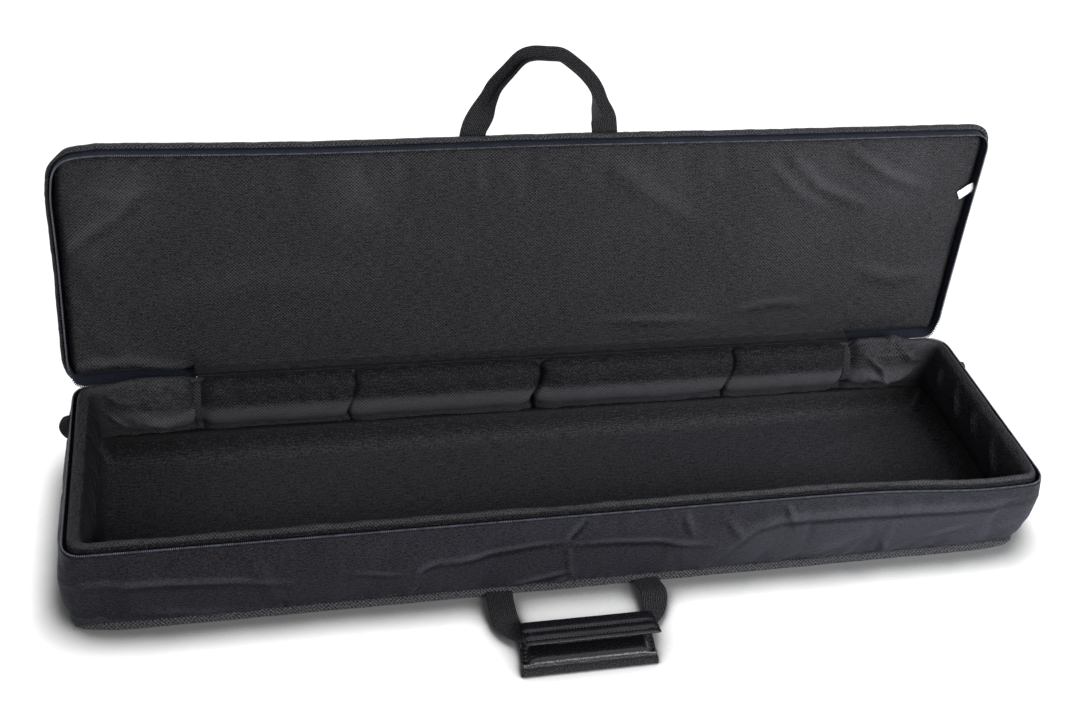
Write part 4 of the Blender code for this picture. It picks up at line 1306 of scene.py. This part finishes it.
def make_side_tabs():
    """A folded end of webbing that stands out of each end wall."""
    near = HALF_LENGTH - 0.001
    for side, name in SIDES:
        low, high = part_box(f"side_tab_{name}")
        far = max(abs(low.x), abs(high.x))
        belly = near + TAB_BELLY
        loop = smooth_open([(near, -TAB_FOOT_HALF), (belly, -TAB_HALF), (far, 0.0), (belly, TAB_HALF),
                            (near, TAB_FOOT_HALF)], 30)
        out, back = loop[:, :1], loop[:, 1:]
        height = np.linspace(low.z, high.z, RIBS * RIB_STEPS + 1) + TAB_UP
        reach = near + (out - near) * (1 - 0.45 * np.linspace(-1, 1, len(height)) ** 2)
        droop = TAB_DROOP * np.sin(np.linspace(0, np.pi, len(loop)))[:, None]
        points = xyz(side * reach, (low.y + high.y) / 2 + TAB_BACK + back, height - droop)
        rib = RIB_HEIGHT * np.cos(np.linspace(0, RIBS, len(height)) * 2 * np.pi)
        points = points + grid_normals(points) * rib[:, None]
        along = run_lengths(loop)[::side, None]
        made = surface(f"side_tab_webbing_{name}", points[::side], along, height[None, :])
        thicken(made, 0.0015, 0)
        dress(made, WEBBED, "tray", (f"side_tab_{name}",))


# Grip wrap

# Closed sections of the lower pad, in depth and height, and of the flap, from its fold and up
PAD_SECTION = (
    (0.4, 0.8), (0.2, 3.0), (3.0, 4.0), (6.4, 4.4), (8.6, 7.4), (12.0, 11.8), (19.0, 14.0), (31.0, 12.8),
    (43.0, 9.0), (54.0, 8.0), (62.0, 9.6), (67.0, 14.0), (69.5, 16.8), (71.0, 15.6), (71.2, 9.0), (70.0, 2.0),
    (66.0, 0.7), (30.0, 0.6),
)
FLAP_SECTION = (
    (0.0, 0.5), (12.0, 0.3), (28.0, 0.3), (42.0, 0.5), (46.6, 1.2), (47.6, 2.8), (46.4, 4.4), (41.5, 5.4),
    (38.0, 4.9), (29.0, 7.0), (20.5, 5.2), (14.0, 6.9), (4.0, 6.6), (-2.4, 5.0), (-3.2, 2.6),
)
# How far the pad's front edge is shifted along the bag
PAD_SKEW = -0.0080
FLAP_ANGLE = math.radians(13)
FLAP_UP = (0.0, -math.sin(FLAP_ANGLE), math.cos(FLAP_ANGLE))
# Stitches on the flap: its rows along the bag and the route of its side seams, both in place from its
# fold and height
FLAP_ROWS = {"middle": (20.5, 5.5), "front": (38.5, 5.2)}
FLAP_SEAM = ((4, 5.4), (18, 5.4), (26, 6.4), (36, 5.3), (43, 5.6))
# The pad's row of stitches: depth from its front edge and height
PAD_ROW = (0.0122, 0.0060)


def section_points(count, section):
    """Depths and heights of points round a closed section."""
    return metres(smooth_closed(count, len(section)) @ np.array(section)).T


def pad_skew(x, y):
    return x + PAD_SKEW * np.clip((PAD_HIGH.y - y) / (PAD_HIGH.y - PAD_LOW.y), 0, 1)


def flap_place(back, up):
    """Depth and height in the bag's frame of a place on the flap, measured from its fold."""
    y = FLAP_AXIS.y - back * math.cos(FLAP_ANGLE) - up * math.sin(FLAP_ANGLE)
    z = FLAP_AXIS.z + back * math.sin(FLAP_ANGLE) + up * math.cos(FLAP_ANGLE)
    return y, z


def loft(name, points, body, replaced):
    """A closed form of leatherette swept along the bag, from its closed sections."""
    middle = points[len(points) // 2]
    along = middle[0, 0] + points[:, :1, 0]
    made = surface(name, points, along, run_round(middle)[None, :], (False, True), caps=True)
    dress(made, LEATHER, body, replaced)


def make_grip_pad():
    """The padded wrap: its bulge and its spine flatten towards the ends, where it is gathered."""
    x = np.linspace(PAD_LOW.x, PAD_HIGH.x, 85)[:, None]
    from_end = np.minimum(x - PAD_LOW.x, PAD_HIGH.x - x)
    depth, rise = section_points(90, PAD_SECTION)
    bulge = window(depth, 0.014, 0.050, 0.006) * (rise > 0.005)
    gather = 0.0016 * np.sin(depth * 900) * bump(from_end, 0.010, 0.005)
    height = rise + bulge * (gather - (1 - smoothstep(from_end, 0.006, 0.016)) * (rise - 0.0050))
    spine = (depth > 0.058) * (rise > 0.009)
    height = height - (1 - smoothstep(from_end, 0.010, 0.024)) * spine * (rise - 0.009)
    y = PAD_LOW.y + depth
    height = height + 0.0004 * wander(xyz(x, y, height), 0.022, 151, 2) * (height > 0.002)
    points = xyz(pad_skew(x, y), y, height)[:, ::-1]
    loft("grip_pad_wrap", points, "base_handle", ("grip_lower_pad",))


def make_grip_flap():
    low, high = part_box("grip_upper_flap")
    x = np.linspace(low.x, high.x, 75)[:, None]
    back, rise = section_points(64, FLAP_SECTION)
    pressed = smoothstep(np.minimum(x - low.x, high.x - x), 0.001, 0.009)
    up = rise * (0.72 + 0.28 * pressed)
    up = up + 0.0005 * wander(xyz(x, back, up), 0.016, 161, 2) * (up > 0.002)
    curl = 0.0012 * bump(x, high.x, 0.02) - 0.0008 * bump(x, low.x + 0.02, 0.03)
    points = xyz(x, *flap_place(back, up + curl * back / 0.047))
    loft("grip_flap_wrap", points, "grip_flap", ("grip_upper_flap",))


def make_grip_strips():
    """The hook strip, a raised fuzzy lip along the pad's front edge, and the loop strip under the flap."""
    low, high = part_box("grip_hook_strip")
    lip = smooth_open([(-0.0022, 0.0010), (-0.0018, 0.0036), (0.0008, 0.0058), (0.0044, 0.0064),
                       (0.0078, 0.0056)], 20)
    x = np.linspace(low.x - 0.001, high.x + 0.001, 200)[:, None]
    y, z = PAD_LOW.y + lip[:, 0], lip[:, 1]
    fuzz = 0.0009 * wander(xyz(x, y, z), 0.0030, 171, 2)
    points = xyz(pad_skew(x, y), y - 0.5 * fuzz, z + fuzz)
    made = surface("grip_hook_tape", points, x, run_lengths(lip)[None, :])
    thicken(made, 0.0016)
    dress(made, PILE, "base_handle", ("grip_hook_strip",))
    low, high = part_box("grip_loop_strip")
    x, back = np.meshgrid(np.linspace(low.x, high.x, 150), np.linspace(0.031, 0.046, 14), indexing="ij")
    up = -0.0004 + 0.0004 * wander(xyz(x, back), 0.003, 173, 2)
    made = surface("grip_loop_tape", xyz(x, *flap_place(back, up)), x, back)
    thicken(made, 0.0008)
    dress(made, PILE, "grip_flap", ("grip_loop_strip",))


def stitches(name, route, up, body, length=0.0032, pitch=0.0044, thick=0.0007):
    """A row of sewn stitches along a route."""
    along = run_lengths(route)
    at = np.arange(pitch / 2, along[-1], pitch)
    behind, places, ahead = (
        xyz(*(np.interp(at + offset, along, values) for values in route.T))
        for offset in (-length / 3, 0, length / 3)
    )
    ways = unit(ahead - behind)
    ups = unit(np.array(up) - (ways @ up)[:, None] * ways)
    made = many(name, *bead(length, thick, thick * 0.7), places, ways, ups)
    dress(made, THREAD, body)


def make_stitches():
    low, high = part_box("grip_upper_flap")
    x = np.linspace(low.x + 0.002, high.x - 0.002, 60)
    for name, row in FLAP_ROWS.items():
        stitches(f"flap_stitches_{name}", xyz(x, *flap_place(*metres(row))), FLAP_UP, "grip_flap")
    seam_back, seam_up = metres(FLAP_SEAM).T
    back = np.linspace(seam_back[0], seam_back[-1], 20)
    up = np.interp(back, seam_back, seam_up)
    for name, place in (("left", low.x + 0.010), ("right", high.x - 0.008)):
        stitches(f"flap_stitches_{name}", xyz(place, *flap_place(back, up)), FLAP_UP, "grip_flap")
    x = np.linspace(PAD_LOW.x + 0.002, PAD_HIGH.x - 0.002, 60)
    y = PAD_LOW.y + PAD_ROW[0]
    stitches("pad_stitches_front", xyz(pad_skew(x, y), y, PAD_ROW[1]), (0.0, 0.0, 1.0), "base_handle")


# Carried-over metal pieces

def finish_metal():
    for piece in ("zipper_slider", "pull_tab"):
        for _, side in SIDES:
            materials = frame["nodes"][f"{piece}_{side}"].data.materials
            materials.clear()
            materials.append(METAL)


# Stage, light and camera

WHITE = (1, 1, 1, 1)
FLOOR_SIZE, FLOOR_BELOW = 14, 0.0004
# The shadow painted under the bag: how far from the bag it reaches, and how open a place is where it is
# darkest and ends
SHADOW_REACH, SHADOW_DARK, SHADOW_END = 0.060, 0.60, 0.99
# Lamps: place, aim, width and height, watts and colour
LAMPS = {
    "front_softbox": ((0.9, -2.3, 1.5), (0, 0, 0.15), (1.3, 0.9), 50, (1.0, 0.99, 0.98)),
    "right_softbox": ((1.5, -1.1, 0.75), (0.3, 0, 0.15), (0.6, 0.6), 20, (0.94, 0.96, 1.0)),
    "left_softbox": ((-2.0, -0.9, 1.2), (-0.3, 0, 0.15), (0.9, 0.9), 6, (0.97, 0.98, 1.0)),
    "top_softbox": ((0.0, 0.35, 2.4), (0, 0, 0), (2.4, 1.0), 5, (1, 1, 1)),
    "rear_softbox": ((-0.4, 2.6, 1.1), (0, 0.1, 0.2), (1.8, 0.9), 22, (0.98, 0.99, 1.0)),
}
# The photograph's view: camera angles in degrees, distance, the point it looks at and its focal length
VIEW_AZIMUTH, VIEW_ELEVATION, VIEW_ROLL = -15.88, 36.84, 6.46
VIEW_DISTANCE = 1.941
VIEW_TARGET = (-0.045, 0.0, 0.272)
VIEW_FOCAL_PIXELS = 1393.1
PHOTO_WIDTH = 1080


def white_for_eyes(tree):
    """1 for camera, glossy and transmission rays, which see the studio as plain white."""
    rays = add_node(tree, "LightPath").outputs
    seen = Flow(tree, rays["Is Camera Ray"])
    for ray in ("Is Glossy Ray", "Is Transmission Ray"):
        seen = seen.math("MAXIMUM", rays[ray])
    return seen


def make_world():
    """A dim, cold sky lights the bag. Eyes see it white."""
    world = bpy.data.worlds.new("studio")
    bpy.context.scene.world = world
    world.use_nodes = True
    tree = world.node_tree
    ambient = tree.nodes["Background"]
    ambient.inputs["Color"].default_value = (0.94, 0.97, 1.0, 1)
    ambient.inputs["Strength"].default_value = 0.24
    white = add_node(tree, "Background", WHITE, 1.0)
    mix = add_node(tree, "MixShader", white_for_eyes(tree), ambient.outputs[0], white.outputs[0])
    tree.links.new(mix.outputs[0], tree.nodes["World Output"].inputs["Surface"])


def make_floor():
    """A white floor. Eyes see it glow, less so close under the bag, which paints a shadow there; its dim
    diffuse face keeps the bag's own shadow too.
    """
    bpy.ops.mesh.primitive_grid_add(x_subdivisions=8, y_subdivisions=8, size=FLOOR_SIZE,
                                    location=(0, 0, -FLOOR_BELOW))
    floor = bpy.context.object
    floor.name = "studio_floor"
    paint = Paint("studio_white", (0.80, 0.80, 0.80), 0.9, specular=0.1)
    tree = paint.tree
    lit = tree.nodes["Principled BSDF"]
    seen = add_node(tree, "BsdfDiffuse", (0.22, 0.22, 0.22, 1))
    # Painted shadow: the glow fades where the bag closes in the floor.
    near = add_node(tree, "AmbientOcclusion", Distance=SHADOW_REACH)
    fade = Flow(tree, near.outputs["AO"]).spread(SHADOW_DARK, SHADOW_END, 0.0, 1.0)
    glow = add_node(tree, "Emission", WHITE, fade)
    both = add_node(tree, "AddShader", seen.outputs[0], glow.outputs[0])
    mix = add_node(tree, "MixShader", white_for_eyes(tree), lit.outputs[0], both.outputs[0])
    tree.links.new(mix.outputs[0], tree.nodes["Material Output"].inputs["Surface"])
    floor.data.materials.append(paint.made)


def make_lamp(name, place, aim, size, power, colour):
    lamp = bpy.data.lights.new(name, "AREA")
    lamp.shape = "RECTANGLE"
    lamp.size, lamp.size_y = size
    lamp.energy = power
    lamp.color = colour
    made = link(bpy.data.objects.new(name, lamp))
    made.location = place
    made.rotation_euler = (Vector(aim) - Vector(place)).to_track_quat("-Z", "Y").to_euler()


def make_camera():
    azimuth, elevation = math.radians(VIEW_AZIMUTH), math.radians(VIEW_ELEVATION)
    level = Vector((math.sin(azimuth), -math.cos(azimuth), 0))
    back = level * math.cos(elevation) + Vector((0, 0, math.sin(elevation)))
    right = Vector((math.cos(azimuth), math.sin(azimuth), 0))
    axes = Matrix((right, back.cross(right), back)).transposed().to_4x4()
    camera = bpy.data.cameras.new("camera")
    camera.sensor_width = 36
    camera.lens = camera.sensor_width * VIEW_FOCAL_PIXELS / PHOTO_WIDTH
    camera.clip_start = 0.05
    made = link(bpy.data.objects.new("camera", camera))
    place = Matrix.Translation(Vector(VIEW_TARGET) + back * VIEW_DISTANCE)
    made.matrix_world = place @ axes @ Matrix.Rotation(math.radians(VIEW_ROLL), 4, "Z")
    bpy.context.scene.camera = made


make_tray_cloth()
make_bottom_cloth()
make_wall_padding()
make_floor_pad()
make_bindings()
make_zip()
make_lid_padding()
make_lid_cloth()
make_care_label()
make_hinge_cloth()
make_hinge_lining()
make_rear_seams()
make_lid_handle()
make_base_handle()
make_side_tabs()
make_grip_pad()
make_grip_flap()
make_grip_strips()
make_stitches()
finish_metal()

make_world()
make_floor()
for lamp_name, lamp in LAMPS.items():
    make_lamp(lamp_name, *lamp)
make_camera()
bpy.context.scene.view_settings.view_transform = "Standard"
